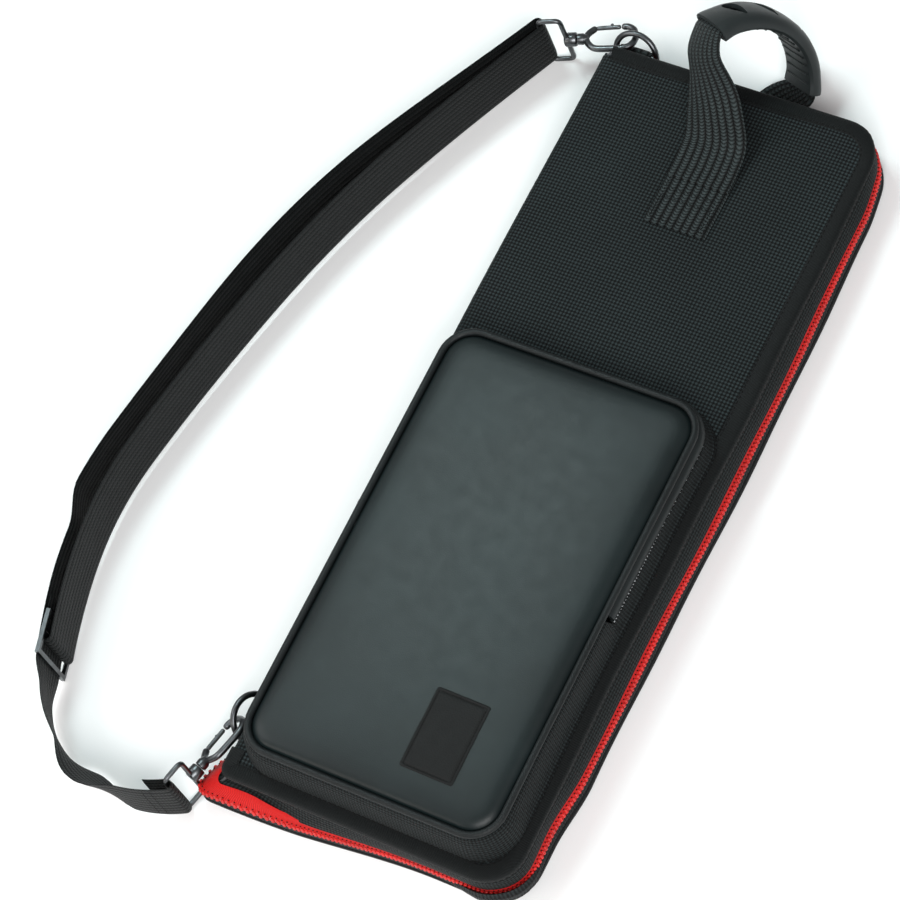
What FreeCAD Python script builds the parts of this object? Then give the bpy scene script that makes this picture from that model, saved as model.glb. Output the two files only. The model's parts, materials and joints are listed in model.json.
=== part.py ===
import FreeCAD, Part
import math
import os

V = FreeCAD.Vector

# ---------------------------------------------------------------- sizes, mm
BAG_WIDTH = 178.0
BAG_LENGTH = 478.0
BAG_DEPTH = 36.0
SPINE_CORNER = 6.0
ZIP_CORNER = 24.0

BINDING = 2.4
COVER = 5.0
PANEL = 2.0
LINING = 0.6
GAP = 0.3
SPINE_THICK = 3.0

BACK_WALL_TOP = 9.6
BACK_TAPE_TOP = 12.2
CHAIN_HALF = 2.0
FRONT_TAPE_TOP = 19.6
CHAIN_THICK = 2.2
TAPE_THICK = 0.8
GUSSET_THICK = 1.2

SLEEVES = 4
SLEEVE_PITCH = 40.0
SLEEVE_HEIGHT = 16.5
SLEEVE_FABRIC = 0.9
SLEEVE_BOTTOM = -228.0
SLEEVE_MOUTH = 150.0

POCKET_HALF = 79.0
POCKET_BOTTOM = -226.0
POCKET_TOP = 40.0
POCKET_RADIUS = 20.0
POCKET_WALL_TOP = 58.0
POCKET_FOLD = -88.0
PIPING = 4.0
PIPING_TOP = 61.5
POCKET_COIL = 47.0

STRAP_WIDTH = 38.0
STRAP_THICK = 1.4
STRAP_FLOOR = 3.2
STRAP_MID = STRAP_FLOOR + STRAP_WIDTH / 2
INNER_LAYER = 2.5
OUTER_LAYER = -4.0
TAIL_RADIUS = 2.9
ADJUSTER_AT = 460.0

LEFT = -BAG_WIDTH / 2
RIGHT = BAG_WIDTH / 2
BOTTOM = -BAG_LENGTH / 2
TOP = BAG_LENGTH / 2


# ------------------------------------------------------------ shape helpers
def save(name, shape):
    shape.exportStep("parts/" + name + ".step")


def box(x0, x1, y0, y1, z0, z1):
    return Part.makeBox(x1 - x0, y1 - y0, z1 - z0, V(x0, y0, z0))


def rounded_slab(x0, x1, y0, y1, left_radius, right_radius, z0, z1):
    """A flat slab with its own corner radius on each long side."""
    corners = [
        (x0 + left_radius, y0 + left_radius, left_radius, 180),
        (x1 - right_radius, y0 + right_radius, right_radius, 270),
        (x1 - right_radius, y1 - right_radius, right_radius, 0),
        (x0 + left_radius, y1 - left_radius, left_radius, 90),
    ]
    arcs = []
    for cx, cy, radius, start in corners:
        points = []
        for turn in (0, 45, 90):
            angle = math.radians(start + turn)
            points.append(V(cx + radius * math.cos(angle), cy + radius * math.sin(angle), z0))
        arcs.append(points)
    edges = []
    for i, points in enumerate(arcs):
        edges.append(Part.Arc(*points).toShape())
        following = arcs[(i + 1) % 4][0]
        edges.append(Part.makeLine(points[2], following))
    return Part.Face(Part.Wire(edges)).extrude(V(0, 0, z1 - z0))


def bag_slab(inset, z0, z1):
    return rounded_slab(
        LEFT + inset,
        RIGHT - inset,
        BOTTOM + inset,
        TOP - inset,
        SPINE_CORNER - inset,
        ZIP_CORNER - inset,
        z0,
        z1,
    )


def bag_ring(inset, thick, z0, z1):
    return bag_slab(inset, z0, z1).cut(bag_slab(inset + thick, z0 - 1, z1 + 1))


def three_sided(ring, spine_end):
    """Only the top, zip side and bottom of a ring, open at the spine."""
    return ring.cut(box(LEFT - 5, spine_end, BOTTOM - 5, TOP + 5, -5, 80))


def pocket_slab(inset, z0, z1):
    radius = POCKET_RADIUS - inset
    return rounded_slab(
        -POCKET_HALF + inset,
        POCKET_HALF - inset,
        POCKET_BOTTOM + inset,
        POCKET_TOP - inset,
        radius,
        radius,
        z0,
        z1,
    )


def pocket_ring(inset, thick, z0, z1):
    return pocket_slab(inset, z0, z1).cut(pocket_slab(inset + thick, z0 - 1, z1 + 1))


def pocket_parts(ring):
    """A pocket ring cut into its straight runs and short pieces of its corners."""
    r = POCKET_RADIUS
    x = POCKET_HALF
    regions = [
        box(-x - 1, x + 1, POCKET_BOTTOM + r, POCKET_FOLD, 0, 100),
        box(-x - 1, x + 1, POCKET_FOLD, POCKET_TOP - r, 0, 100),
        box(-x + r, x - r, POCKET_BOTTOM - 1, POCKET_BOTTOM + r, 0, 100),
        box(-x + r, x - r, POCKET_TOP - r, POCKET_TOP + 1, 0, 100),
    ]
    for cx, cy, start in (
        (-x + r, POCKET_BOTTOM + r, 180),
        (x - r, POCKET_BOTTOM + r, 270),
        (x - r, POCKET_TOP - r, 0),
        (-x + r, POCKET_TOP - r, 90),
    ):
        for step in range(3):
            regions.append(corner_wedge(cx, cy, start + 30 * step, start + 30 * step + 30))
    solids = []
    for region in regions:
        solids += ring.common(region).Solids
    return Part.makeCompound(solids)


def corner_wedge(cx, cy, angle0, angle1):
    points = [V(cx, cy, 0)]
    for angle in (angle0, angle1):
        a = math.radians(angle)
        points.append(V(cx + 60 * math.cos(a), cy + 60 * math.sin(a), 0))
    points.append(points[0])
    return Part.Face(Part.makePolygon(points)).extrude(V(0, 0, 100))


def above_fold(shape):
    return shape.common(box(-200, 200, POCKET_FOLD + GAP / 2, 100, 0, 100))


def below_fold(shape):
    return shape.common(box(-200, 200, -300, POCKET_FOLD - GAP / 2, 0, 100))


def rod(start, end, diameter):
    return Part.makeCylinder(diameter / 2, (end - start).Length, start, end - start)


def rod_path(points, diameter):
    """Round wire through points, with a ball at each bend."""
    shape = rod(points[0], points[1], diameter)
    for a, b in zip(points[1:-1], points[2:]):
        shape = shape.fuse(Part.makeSphere(diameter / 2, a))
        shape = shape.fuse(rod(a, b, diameter))
    return shape.removeSplitter()


# ------------------------------------------------------------- back of the bag
def webbing_channel():
    """The shallow bed that lets the rear handle webbing lie flush."""
    return box(-18, 22, 141, TOP + 1, -1, 1.7)


def make_back():
    channel = webbing_channel()
    save("back_outer_panel", bag_slab(BINDING, 0, PANEL).cut(channel))
    save("back_foam_pad", bag_slab(BINDING, PANEL, COVER - LINING))
    save("back_lining", bag_slab(BINDING, COVER - LINING, COVER))
    save("back_binding", bag_ring(0, BINDING, 0, COVER).cut(channel))
    save("back_side_wall", three_sided(bag_ring(1.0, GUSSET_THICK, COVER, BACK_WALL_TOP), -85.9))
    save("zip_tape_back", three_sided(bag_ring(0.8, TAPE_THICK, BACK_WALL_TOP, BACK_TAPE_TOP), -85.9))
    chain = bag_ring(0, CHAIN_THICK, BACK_TAPE_TOP, BACK_TAPE_TOP + CHAIN_HALF)
    save("zip_chain_back", slider_gap(three_sided(chain, -80)))


def slider_gap(chain):
    """The zip's teeth are open between the two sliders."""
    return chain.cut(box(-30, -2, TOP - 4, TOP + 1, 0, 40))


def make_sleeves():
    """Four flat-topped sleeves on one backing, cut at their seams into plain panels."""
    t = SLEEVE_FABRIC
    land = SLEEVE_PITCH * SLEEVES / 2
    floor = COVER + t
    roof = COVER + SLEEVE_HEIGHT
    panels = [box(-land + 1, land + 1, SLEEVE_BOTTOM, SLEEVE_MOUTH, COVER, floor)]
    for i in range(SLEEVES):
        x0 = -land + 2.5 + i * SLEEVE_PITCH
        x1 = x0 + SLEEVE_PITCH - 3.0
        panels.append(box(x0, x0 + t, SLEEVE_BOTTOM, SLEEVE_MOUTH, floor, roof - t))
        panels.append(box(x1 - t, x1, SLEEVE_BOTTOM, SLEEVE_MOUTH, floor, roof - t))
        panels.append(box(x0, x1, SLEEVE_BOTTOM, SLEEVE_MOUTH, roof - t, roof))
        panels.append(box(x0 + t, x1 - t, SLEEVE_BOTTOM, SLEEVE_BOTTOM + t, floor, roof - t))
    save("stick_sleeves", Part.makeCompound(panels))


def make_spine():
    y = TOP - 5
    z0 = COVER
    z1 = BAG_DEPTH - COVER - GAP
    save("spine_outer_panel", box(LEFT, LEFT + 0.9, -y, y, z0, z1))
    save("spine_foam_strip", box(LEFT + 0.9, LEFT + 2.4, -y, y, z0, z1))
    save("spine_lining", box(LEFT + 2.4, LEFT + SPINE_THICK, -y, y, z0, z1))


# ------------------------------------------------------------ front of the bag
def make_front():
    z0 = BAG_DEPTH - COVER
    save("front_outer_panel", bag_slab(BINDING, BAG_DEPTH - PANEL, BAG_DEPTH))
    save("front_foam_pad", bag_slab(BINDING, z0 + LINING, BAG_DEPTH - PANEL))
    save("front_lining", bag_slab(BINDING, z0, z0 + LINING))
    save("front_binding", bag_ring(0, BINDING, z0, BAG_DEPTH))
    save("front_gusset", three_sided(bag_ring(0.6, GUSSET_THICK, FRONT_TAPE_TOP, z0), -84))
    chain_low = BACK_TAPE_TOP + CHAIN_HALF + GAP
    chain_high = chain_low + CHAIN_HALF
    save("zip_tape_front", three_sided(bag_ring(0.8, TAPE_THICK, chain_high, FRONT_TAPE_TOP), -84))
    chain = bag_ring(0, CHAIN_THICK, chain_low, chain_high)
    save("zip_chain_front", slider_gap(three_sided(chain, -80)))


def make_inner_pocket():
    """The flat divided pocket inside the front cover, cut at its seams."""
    z1 = BAG_DEPTH - COVER
    z0 = z1 - 5.5
    skin = z1 - 4.6
    panels = [
        box(-78, 80, SLEEVE_BOTTOM, 60, z0, skin),
        box(-78, 80, SLEEVE_BOTTOM, SLEEVE_BOTTOM + 0.9, skin, z1),
    ]
    for x0 in (-78, 0.5, 79.1):
        panels.append(box(x0, x0 + 0.9, SLEEVE_BOTTOM + 0.9, 60, skin, z1))
    save("front_inner_pocket", Part.makeCompound(panels))
    save("inner_pocket_hem", box(-78, 80, 60, 62.5, z1 - 6.0, z1 - 4.6))


# ---------------------------------------------------------------- front pocket
def make_pocket():
    floor = BAG_DEPTH
    low_wall = pocket_ring(0, GUSSET_THICK, floor, POCKET_COIL)
    high_wall = below_fold(pocket_ring(0, GUSSET_THICK, POCKET_COIL, POCKET_WALL_TOP))
    save("pocket_gusset", pocket_parts(low_wall.fuse(high_wall)))
    lower = above_fold(pocket_ring(0, 1.6, POCKET_COIL, POCKET_COIL + 1.4))
    upper = above_fold(pocket_ring(0, 1.6, POCKET_COIL + 1.7, POCKET_COIL + 3.1))
    behind_slider = box(-POCKET_HALF - 5, 0, POCKET_FOLD - 1, -70.8, 40, 60)
    save("pocket_zip_chain_lower", lower.cut(behind_slider))
    save("pocket_zip_chain_upper", upper.cut(behind_slider))
    flap_wall = pocket_ring(0, GUSSET_THICK, POCKET_COIL + 3.1, POCKET_WALL_TOP)
    save("pocket_flap_gusset", pocket_parts(above_fold(flap_wall)))
    piping = pocket_ring(0, PIPING, POCKET_WALL_TOP, PIPING_TOP)
    face = pocket_slab(PIPING, POCKET_WALL_TOP, PIPING_TOP - 1)
    save("pocket_piping_lower", below_fold(piping))
    save("pocket_flap_piping", above_fold(piping))
    save("pocket_face_lower", below_fold(face))
    save("pocket_flap_face", above_fold(face))
    patch = rounded_slab(14, 46, -204, -157, 2, 2, PIPING_TOP - 1, PIPING_TOP - 0.2)
    save("pocket_plain_patch", patch)


# ---------------------------------------------------------------- zip sliders
def main_slider(x, side):
    """Two plates and the wedge between them, astride the top run of the zip."""
    mid = BACK_TAPE_TOP + CHAIN_HALF + GAP / 2
    y = TOP
    outer = box(x - 6.5, x + 6.5, y + 0.3, y + 1.7, mid - 5, mid + 5)
    inner = box(x - 6.5, x + 6.5, y - 4.2, y - 2.8, mid - 5, mid + 5)
    wedge_x = x - side * 3.5
    wedge = box(wedge_x - 1.6, wedge_x + 1.6, y - 3.5, y + 1.0, mid - 1.2, mid + 1.2)
    lug = box(x - 2.0, x + 2.0, y + 1.7, y + 4.3, mid - 1.2, mid + 1.2)
    eye = Part.makeCylinder(0.9, 6, V(x, y + 3.1, mid - 3), V(0, 0, 1))
    return outer.fuse(inner).fuse(wedge).fuse(lug).removeSplitter().cut(eye)


def main_pull(x, side):
    """A flat puller on a round pin through the slider's lug."""
    mid = BACK_TAPE_TOP + CHAIN_HALF + GAP / 2
    y = TOP + 3.1
    pin = Part.makeCylinder(0.55, 6.4, V(x, y, mid - 3.2), V(0, 0, 1))
    arms = None
    for z in (mid - 3.2, mid + 1.8):
        arm = box(0, 9, y - 0.8, y + 0.8, z, z + 1.4)
        arms = arm if arms is None else arms.fuse(arm)
    tag = box(7.5, 20, y - 0.8, y + 0.8, mid - 3.2, mid + 3.2)
    hole = Part.makeCylinder(1.4, 6, V(17, y - 3, mid), V(0, 1, 0))
    body = arms.fuse(tag).cut(hole)
    if side < 0:
        body = body.mirror(V(0, 0, 0), V(1, 0, 0))
    body.translate(V(x, 0, 0))
    return pin.fuse(body).removeSplitter()


def make_main_sliders():
    save("main_slider_right", main_slider(-6, 1))
    save("main_pull_right", main_pull(-6, 1))
    save("main_slider_left", main_slider(-26, -1))
    save("main_pull_left", main_pull(-26, -1))


def make_pocket_slider():
    mid = POCKET_COIL + 1.55
    x = -POCKET_HALF
    y = -70.0
    outer = box(x - 1.5, x - 0.3, y - 5, y + 5, mid - 4, mid + 4)
    inner = box(x + 2.0, x + 3.1, y - 5, y + 5, mid - 4, mid + 4)
    wedge = box(x - 1.0, x + 2.5, y - 4, y - 1.5, mid - 0.9, mid + 0.9)
    lug = box(x - 3.7, x - 1.5, y - 1.6, y + 1.6, mid - 1, mid + 1)
    eye = Part.makeCylinder(0.8, 6, V(x - 2.7, y, mid - 3), V(0, 0, 1))
    slider = outer.fuse(inner).fuse(wedge).fuse(lug).removeSplitter().cut(eye)
    save("pocket_slider", slider)
    ring_centre = V(x - 2.7, y - 5.2, mid)
    ring = Part.makeTorus(5.2, 0.55, ring_centre, V(1, 0, 0))
    save("pocket_pull_ring", ring)
    cord = rod_path(
        [V(x - 2.7, y - 11.7, mid), V(x - 3.0, y - 22, mid), V(x - 3.2, y - 33, mid - 1)],
        1.5,
    )
    knot = Part.makeSphere(1.7, V(x - 3.2, y - 33, mid - 1))
    save("pocket_pull_cord", cord.fuse(knot).removeSplitter())


# -------------------------------------------------------------------- handle
GRIP_CENTRE = V(-3.0, 234.0, 35.9)
GRIP_ACROSS = V(0.5378, 0.2194, -0.8140).normalize()
GRIP_UP = V(0.2235, 0.8939, 0.3886).normalize()
GRIP_INNER = 39.0
GRIP_OUTER = 48.5
GRIP_CORE = 43.7
GRIP_LEFT_END = -56.5  # kept clear of the swinging front cover
GRIP_RIGHT_END = 64.4


def grip_frame(angle):
    """Outward direction at an angle along the arch, measured from its top."""
    a = math.radians(angle)
    return GRIP_ACROSS * math.sin(a) + GRIP_UP * math.cos(a)


def grip_normal():
    return GRIP_ACROSS.cross(GRIP_UP)


def grip_sector(r0, r1, half_width, angle0, angle1):
    n = grip_normal()
    out = grip_frame(angle0)
    corners = []
    for r, w in ((r0, -half_width), (r1, -half_width), (r1, half_width), (r0, half_width)):
        corners.append(GRIP_CENTRE + out * r + n * w)
    corners.append(corners[0])
    face = Part.Face(Part.makePolygon(corners))
    sector = face.revolve(GRIP_CENTRE, n, -(angle1 - angle0))
    return sector


def make_grip():
    grip = grip_sector(GRIP_INNER, GRIP_OUTER, 15, GRIP_LEFT_END, GRIP_RIGHT_END)
    long_edges = [e for e in grip.Edges if e.Length > 60]
    grip = grip.makeFillet(3.2, long_edges)
    grip = grip.cut(grip_sector(GRIP_CORE - 1.2, GRIP_CORE + 1.4, 13, GRIP_LEFT_END - 1, GRIP_RIGHT_END + 1))
    for angle in (-33, -11, 11, 33):
        slot = grip_sector(GRIP_CORE + 0.8, GRIP_OUTER + 2, 4.5, angle - 6, angle + 6)
        grip = grip.cut(slot)
    save("handle_grip", grip)
    core = grip_sector(GRIP_CORE - 0.7, GRIP_CORE + 0.7, 12.2, GRIP_LEFT_END + 2.4, GRIP_RIGHT_END - 2.4)
    save("handle_webbing_core", core)


def webbing_loft(stations, thick):
    """Flat webbing through stations of (centre, width direction, normal, width)."""
    wires = []
    for centre, across, normal, width in stations:
        across = across.normalize()
        normal = normal.normalize()
        corners = []
        for a, b in ((-1, -1), (1, -1), (1, 1), (-1, 1)):
            corners.append(centre + across * (a * width / 2) + normal * (b * thick / 2))
        corners.append(corners[0])
        wires.append(Part.makePolygon(corners))
    return Part.makeLoft(wires, True, True)


def make_handle_webbing():
    save("handle_patch_front", box(-17, 21, 142, 182, BAG_DEPTH, BAG_DEPTH + 1.6))
    save("handle_patch_back", box(-17, 21, 142, 182, 0.1, 1.7))
    n = grip_normal()
    left_out = grip_frame(GRIP_LEFT_END - 1.5)
    left_end = GRIP_CENTRE + left_out * GRIP_CORE
    right_out = grip_frame(GRIP_RIGHT_END + 1.5)
    right_end = GRIP_CENTRE + right_out * GRIP_CORE
    front = [
        (V(2, 182.2, 36.9), V(1, 0, 0), V(0, 0, 1), 38),
        (V(1, 198, 41.5), V(1, 0, 0.05), V(0, -0.4, 0.9), 37),
        (V(-5, 214, 52), V(0.98, -0.1, 0.15), V(-0.1, -0.6, 0.8), 33),
        (V(-14.5, 230, 66), V(0.92, -0.25, 0.3), V(-0.2, -0.7, 0.7), 28),
        (left_end, n, left_out, 25),
    ]
    back = [
        (V(2, 182.2, 0.9), V(1, 0, 0), V(0, 0, 1), 37),
        (V(3, 212, 0.9), V(1, 0, 0), V(0, 0, 1), 37),
        (V(6, 238.5, 0.95), V(1, 0, 0), V(0, 0, 1), 31),
        (V(9, 244, 2.1), V(1, -0.05, 0), V(0, -0.2, 1), 29),
        (V(17, 252.0, 6.3), V(0.9, -0.2, 0.3), V(-0.2, -0.45, 0.85), 26),
        (right_end, n, right_out * -1, 24),
    ]
    save("handle_webbing_front", webbing_loft(front, 1.5))
    save("handle_webbing_back", webbing_loft(back, 1.5))


# ------------------------------------------------------- D-rings and snap hooks
BOW = 13.0


def direction(vector):
    return V(vector).normalize()


def d_ring(bar_centre, along, outward):
    """A wire D: straight bar, half round bow."""
    half = BOW
    wire = 3.5
    ends = [bar_centre + along * half, bar_centre - along * half]
    middle = bar_centre + outward * half
    bow = Part.Arc(ends[0], middle, ends[1]).toShape()
    path = Part.Wire([bow])
    section = Part.Wire([Part.makeCircle(wire / 2, ends[0], outward)])
    shape = path.makePipeShell([section], True, False)
    shape = shape.fuse(rod(ends[0], ends[1], wire))
    for end in ends:
        shape = shape.fuse(Part.makeSphere(wire / 2, end))
    return shape.removeSplitter()


def ring_tab(bar_centre, along, outward, foot, width):
    """Webbing folded round the D-ring's bar and sewn at its foot."""
    sleeve = Part.makeCylinder(3.6, width, bar_centre - along * (width / 2), along)
    bore = Part.makeCylinder(2.15, width + 2, bar_centre - along * (width / 2 + 1), along)
    reach = foot - bar_centre
    side = along.cross(direction(reach))
    start = bar_centre + direction(reach) * 2.6
    quad = [
        start + side * 1.5,
        foot + side,
        foot - side,
        start - side * 1.5,
    ]
    quad = [p - along * (width / 2) for p in quad]
    tongue = Part.Face(Part.makePolygon(quad + [quad[0]])).extrude(along * width)
    return sleeve.fuse(tongue).cut(bore).removeSplitter()


def lower_ring_place():
    tilt = math.radians(60)
    outward = V(-math.cos(tilt), 0, math.sin(tilt))
    return V(-95.5, -199, 15.0), V(0, 1, 0), outward


def upper_ring_place():
    tilt = math.radians(60)
    outward = V(0, math.cos(tilt), math.sin(tilt))
    return V(-77, TOP + 6.5, 16.0), V(1, 0, 0), outward


def bow_point(place, angle):
    """A point on the D-ring's bow and the wire's direction there."""
    centre, along, outward = place
    a = math.radians(angle)
    point = centre + outward * (BOW * math.cos(a)) + along * (BOW * math.sin(a))
    tangent = along * math.cos(a) - outward * math.sin(a)
    return point, tangent


def hook_frames(place, angle, heading, reach):
    """Where a snap hook sits: its ring bar, its axis and its flat plane."""
    point, tangent = bow_point(place, angle)
    axis = direction(heading)
    bar = point - axis * reach
    bar.z = STRAP_MID
    across = direction(tangent.cross(axis))
    normal = axis.cross(across)
    return bar, axis, across, normal


def lower_hook():
    return hook_frames(lower_ring_place(), -55, V(0.25, 0.968, 0), 47.5)


def upper_hook():
    return hook_frames(upper_ring_place(), -50, V(0.93, 0.367, 0), 45.2)


def hook_ring(bar, axis):
    """The square eye that the strap loops through, with the swivel barrel."""
    wire = 2.6
    half = STRAP_WIDTH / 2 + 1.7
    up = V(0, 0, 1)
    corners = [
        bar - up * half,
        bar + up * half,
        bar + up * half + axis * 13,
        bar - up * half + axis * 13,
    ]
    frame = rod_path(corners + [corners[0]], wire)
    frame = frame.fuse(Part.makeSphere(wire / 2, corners[0]))
    barrel = Part.makeCylinder(4.2, 7, bar + axis * 12, axis)
    seat = Part.makeCylinder(2.3, 2.2, bar + axis * 15.8, axis)
    lip = Part.makeCylinder(1.6, 2, bar + axis * 17.9, axis)
    return frame.fuse(barrel).cut(seat).cut(lip).removeSplitter()


def hook_loop_points(bar, axis, across, low, high):
    """Outline of the hook's loop between two places along its axis."""
    width = 8.0
    return [
        bar + axis * low + across * 0,
        bar + axis * (low + 5) - across * width,
        bar + axis * (high - 5) - across * width,
        bar + axis * high - across * 3,
        bar + axis * high + across * 3,
        bar + axis * (high - 5) + across * width,
    ]


def hook_body(bar, axis, across):
    wire = 4.0
    points = hook_loop_points(bar, axis, across, 24, 53.6)
    points.append(bar + axis * 46 + across * 8.0)
    body = rod_path(points, wire)
    body = body.fuse(Part.makeSphere(wire / 2, points[-1]))
    shoulder = rod_path([points[0], bar + axis * 28.5 + across * 7.0], wire)
    body = body.fuse(shoulder)
    body = body.fuse(Part.makeSphere(wire / 2, bar + axis * 28.5 + across * 7.0))
    post = Part.makeCylinder(1.25, 8, bar + axis * 16.3, axis)
    head = Part.makeCylinder(2.0, 1.6, bar + axis * 16.1, axis)
    collar = Part.makeCylinder(3.4, 3.4, bar + axis * 19.6, axis)
    return body.fuse(post).fuse(head).fuse(collar).removeSplitter()


def hook_gate(bar, axis, across):
    start = bar + axis * 32.4 + across * 7.6
    end = bar + axis * 42.4 + across * 7.9
    gate = rod(start, end, 2.6)
    return gate.fuse(Part.makeSphere(1.3, start)).removeSplitter()


def make_hardware():
    for name, place, hook in (
        ("bottom", lower_ring_place(), lower_hook()),
        ("top", upper_ring_place(), upper_hook()),
    ):
        centre, along, outward = place
        if name == "bottom":
            foot = V(LEFT - 0.9, centre.y, 5.6)
        else:
            foot = V(centre.x, TOP + 0.9, 5.6)
        bar, axis, across, normal = hook
        save("d_ring_" + name, d_ring(centre, along, outward))
        save("d_ring_tab_" + name, ring_tab(centre, along, outward, foot, 20))
        save("hook_eye_" + name, hook_ring(bar, axis))
        save("hook_body_" + name, hook_body(bar, axis, across))
        save("hook_gate_" + name, hook_gate(bar, axis, across))
        print(name, "bar", tuple(bar), "axis", tuple(axis), "across", tuple(across), "normal", tuple(normal))


# --------------------------------------------------------------- shoulder strap
def beside_bar(bar, neighbour, sideways):
    """The outer layer's end next to a bar, so that the fold closes round it."""
    run = direction(V(neighbour.x - bar.x, neighbour.y - bar.y, 0))
    return V(bar.x, bar.y, 0) - V(-run.y, run.x, 0) * sideways


def strap_corners():
    first = V(-165, 168, 0)
    last = V(-152, -272, 0)
    middle = (INNER_LAYER + OUTER_LAYER) / 2
    return [
        beside_bar(upper_hook()[0], first, middle),
        first,
        V(-205, 78, 0),
        V(-228, -38, 0),
        V(-240, -125, 0),
        V(-207, -252, 0),
        last,
        beside_bar(lower_hook()[0], last, -(OUTER_LAYER + TAIL_RADIUS)),
    ]


def strap_route():
    """Straight runs with tangent arcs: a list of lines and arcs."""
    points = strap_corners()
    pieces = []
    start = points[0]
    for before, corner, after in zip(points, points[1:], points[2:]):
        arriving = (corner - before).normalize()
        leaving = (after - corner).normalize()
        turn = math.acos(max(-1, min(1, arriving.dot(leaving))))
        shorter = min((corner - before).Length, (after - corner).Length)
        radius = 0.45 * shorter / math.tan(turn / 2)
        side = 1 if arriving.cross(leaving).z > 0 else -1
        back = radius * math.tan(turn / 2)
        a = corner - arriving * back
        b = corner + leaving * back
        centre = a + V(-arriving.y, arriving.x, 0) * (radius * side)
        pieces.append(("line", start, a))
        pieces.append(("arc", a, b, centre, radius, side))
        start = b
        print("strap bend radius", round(radius, 1))
    pieces.append(("line", start, points[-1]))
    return pieces


def shifted_edges(pieces, offset, z):
    edges = []
    for piece in pieces:
        if piece[0] == "line":
            a, b = piece[1], piece[2]
            d = (b - a).normalize()
            shift = V(-d.y, d.x, 0) * offset + V(0, 0, z)
            edges.append(Part.makeLine(a + shift, b + shift))
        else:
            a, b, centre, radius, side = piece[1:]
            r = radius - side * offset
            mid = ((a + b) * 0.5 - centre).normalize()
            points = []
            for p in ((a - centre).normalize(), mid, (b - centre).normalize()):
                points.append(centre + p * r + V(0, 0, z))
            edges.append(Part.Arc(*points).toShape())
    return edges


def ribbon(pieces, offset):
    """Webbing standing on its edge along the route."""
    z = STRAP_FLOOR
    near = shifted_edges(pieces, offset - STRAP_THICK / 2, z)
    far = shifted_edges(pieces, offset + STRAP_THICK / 2, z)
    first = Part.makeLine(near[0].valueAt(near[0].FirstParameter), far[0].valueAt(far[0].FirstParameter))
    last = Part.makeLine(near[-1].valueAt(near[-1].LastParameter), far[-1].valueAt(far[-1].LastParameter))
    edges = Part.__sortEdges__(near + [last] + far + [first])
    solid = Part.Face(Part.Wire(edges)).extrude(V(0, 0, STRAP_WIDTH))
    if solid.Volume < 0:
        solid.reverse()
    return solid


def fold(centre, toward, radius):
    """The half turn of webbing round a bar, bulging in direction toward."""
    z = V(0, 0, STRAP_FLOOR)
    outer = Part.makeCylinder(radius + STRAP_THICK / 2, STRAP_WIDTH, centre + z, V(0, 0, 1))
    inner = Part.makeCylinder(radius - STRAP_THICK / 2, STRAP_WIDTH, centre + z, V(0, 0, 1))
    tube = outer.cut(inner)
    side = V(-toward.y, toward.x, 0)
    a = centre - side * 20
    b = centre + side * 20
    keep = Part.Face(Part.makePolygon([a, b, b + toward * 20, a + toward * 20, a])).extrude(V(0, 0, 60))
    return tube.common(keep)


def cut_route(pieces, length):
    """The route up to a length, which must end on a straight run."""
    kept = []
    travelled = 0.0
    for piece in pieces:
        if piece[0] == "line":
            run = (piece[2] - piece[1]).Length
            if travelled + run >= length:
                d = (piece[2] - piece[1]).normalize()
                end = piece[1] + d * (length - travelled)
                kept.append(("line", piece[1], end))
                return kept, end, d
        else:
            a, b, centre, radius, side = piece[1:]
            chord = (b - a).Length
            run = 2 * radius * math.asin(chord / 2 / radius)
        kept.append(piece)
        travelled += run
    raise ValueError("the route is shorter than that")


def route_length(pieces):
    total = 0.0
    for piece in pieces:
        if piece[0] == "line":
            total += (piece[2] - piece[1]).Length
        else:
            chord = (piece[2] - piece[1]).Length
            total += 2 * piece[4] * math.asin(chord / 2 / piece[4])
    return total


def make_strap():
    route = strap_route()
    print("strap route length", round(route_length(route), 1))
    start_direction = (route[0][2] - route[0][1]).normalize()
    end_direction = (route[-1][2] - route[-1][1]).normalize()
    start = route[0][1]
    end = route[-1][2]
    upper, adjuster, along = cut_route(route, ADJUSTER_AT)
    start_side = V(-start_direction.y, start_direction.x, 0)
    end_side = V(-end_direction.y, end_direction.x, 0)
    middle = (INNER_LAYER + OUTER_LAYER) / 2
    strap = ribbon(route, OUTER_LAYER)
    strap = strap.fuse(ribbon(upper, INNER_LAYER))
    strap = strap.fuse(fold(start + start_side * middle, start_direction * -1, 3.25))
    tail_centre = end + end_side * (OUTER_LAYER + TAIL_RADIUS)
    strap = strap.fuse(fold(tail_centre, end_direction, TAIL_RADIUS))
    tail = [("line", end - end_direction * 16, end)]
    strap = strap.fuse(ribbon(tail, OUTER_LAYER + 2 * TAIL_RADIUS))
    strap = strap.fuse(fold(adjuster, along, INNER_LAYER))
    save("strap_webbing", strap.removeSplitter())
    print("top fold at", tuple(start + start_side * middle), "bottom fold at", tuple(tail_centre))
    print("adjuster at", tuple(adjuster), "webbing runs", tuple(along))
    make_adjuster(adjuster, along)


def make_adjuster(centre, along):
    """A flat frame with a middle bar: the slider that sets the strap's length."""
    low = STRAP_FLOOR - 2.8
    high = STRAP_FLOOR + STRAP_WIDTH + 2.8
    frame = box(-13, 13, -1.2, 1.2, low, high)
    frame = frame.cut(box(-10.4, 10.4, -2, 2, low + 2.4, high - 2.4))
    bar = Part.makeCylinder(1.3, high - low - 3, V(0, 0, low + 1.5), V(0, 0, 1))
    frame = frame.fuse(bar).removeSplitter()
    frame.rotate(V(0, 0, 0), V(0, 0, 1), math.degrees(math.atan2(along.y, along.x)))
    frame.translate(V(centre.x, centre.y, 0))
    save("strap_adjuster", frame)


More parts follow.
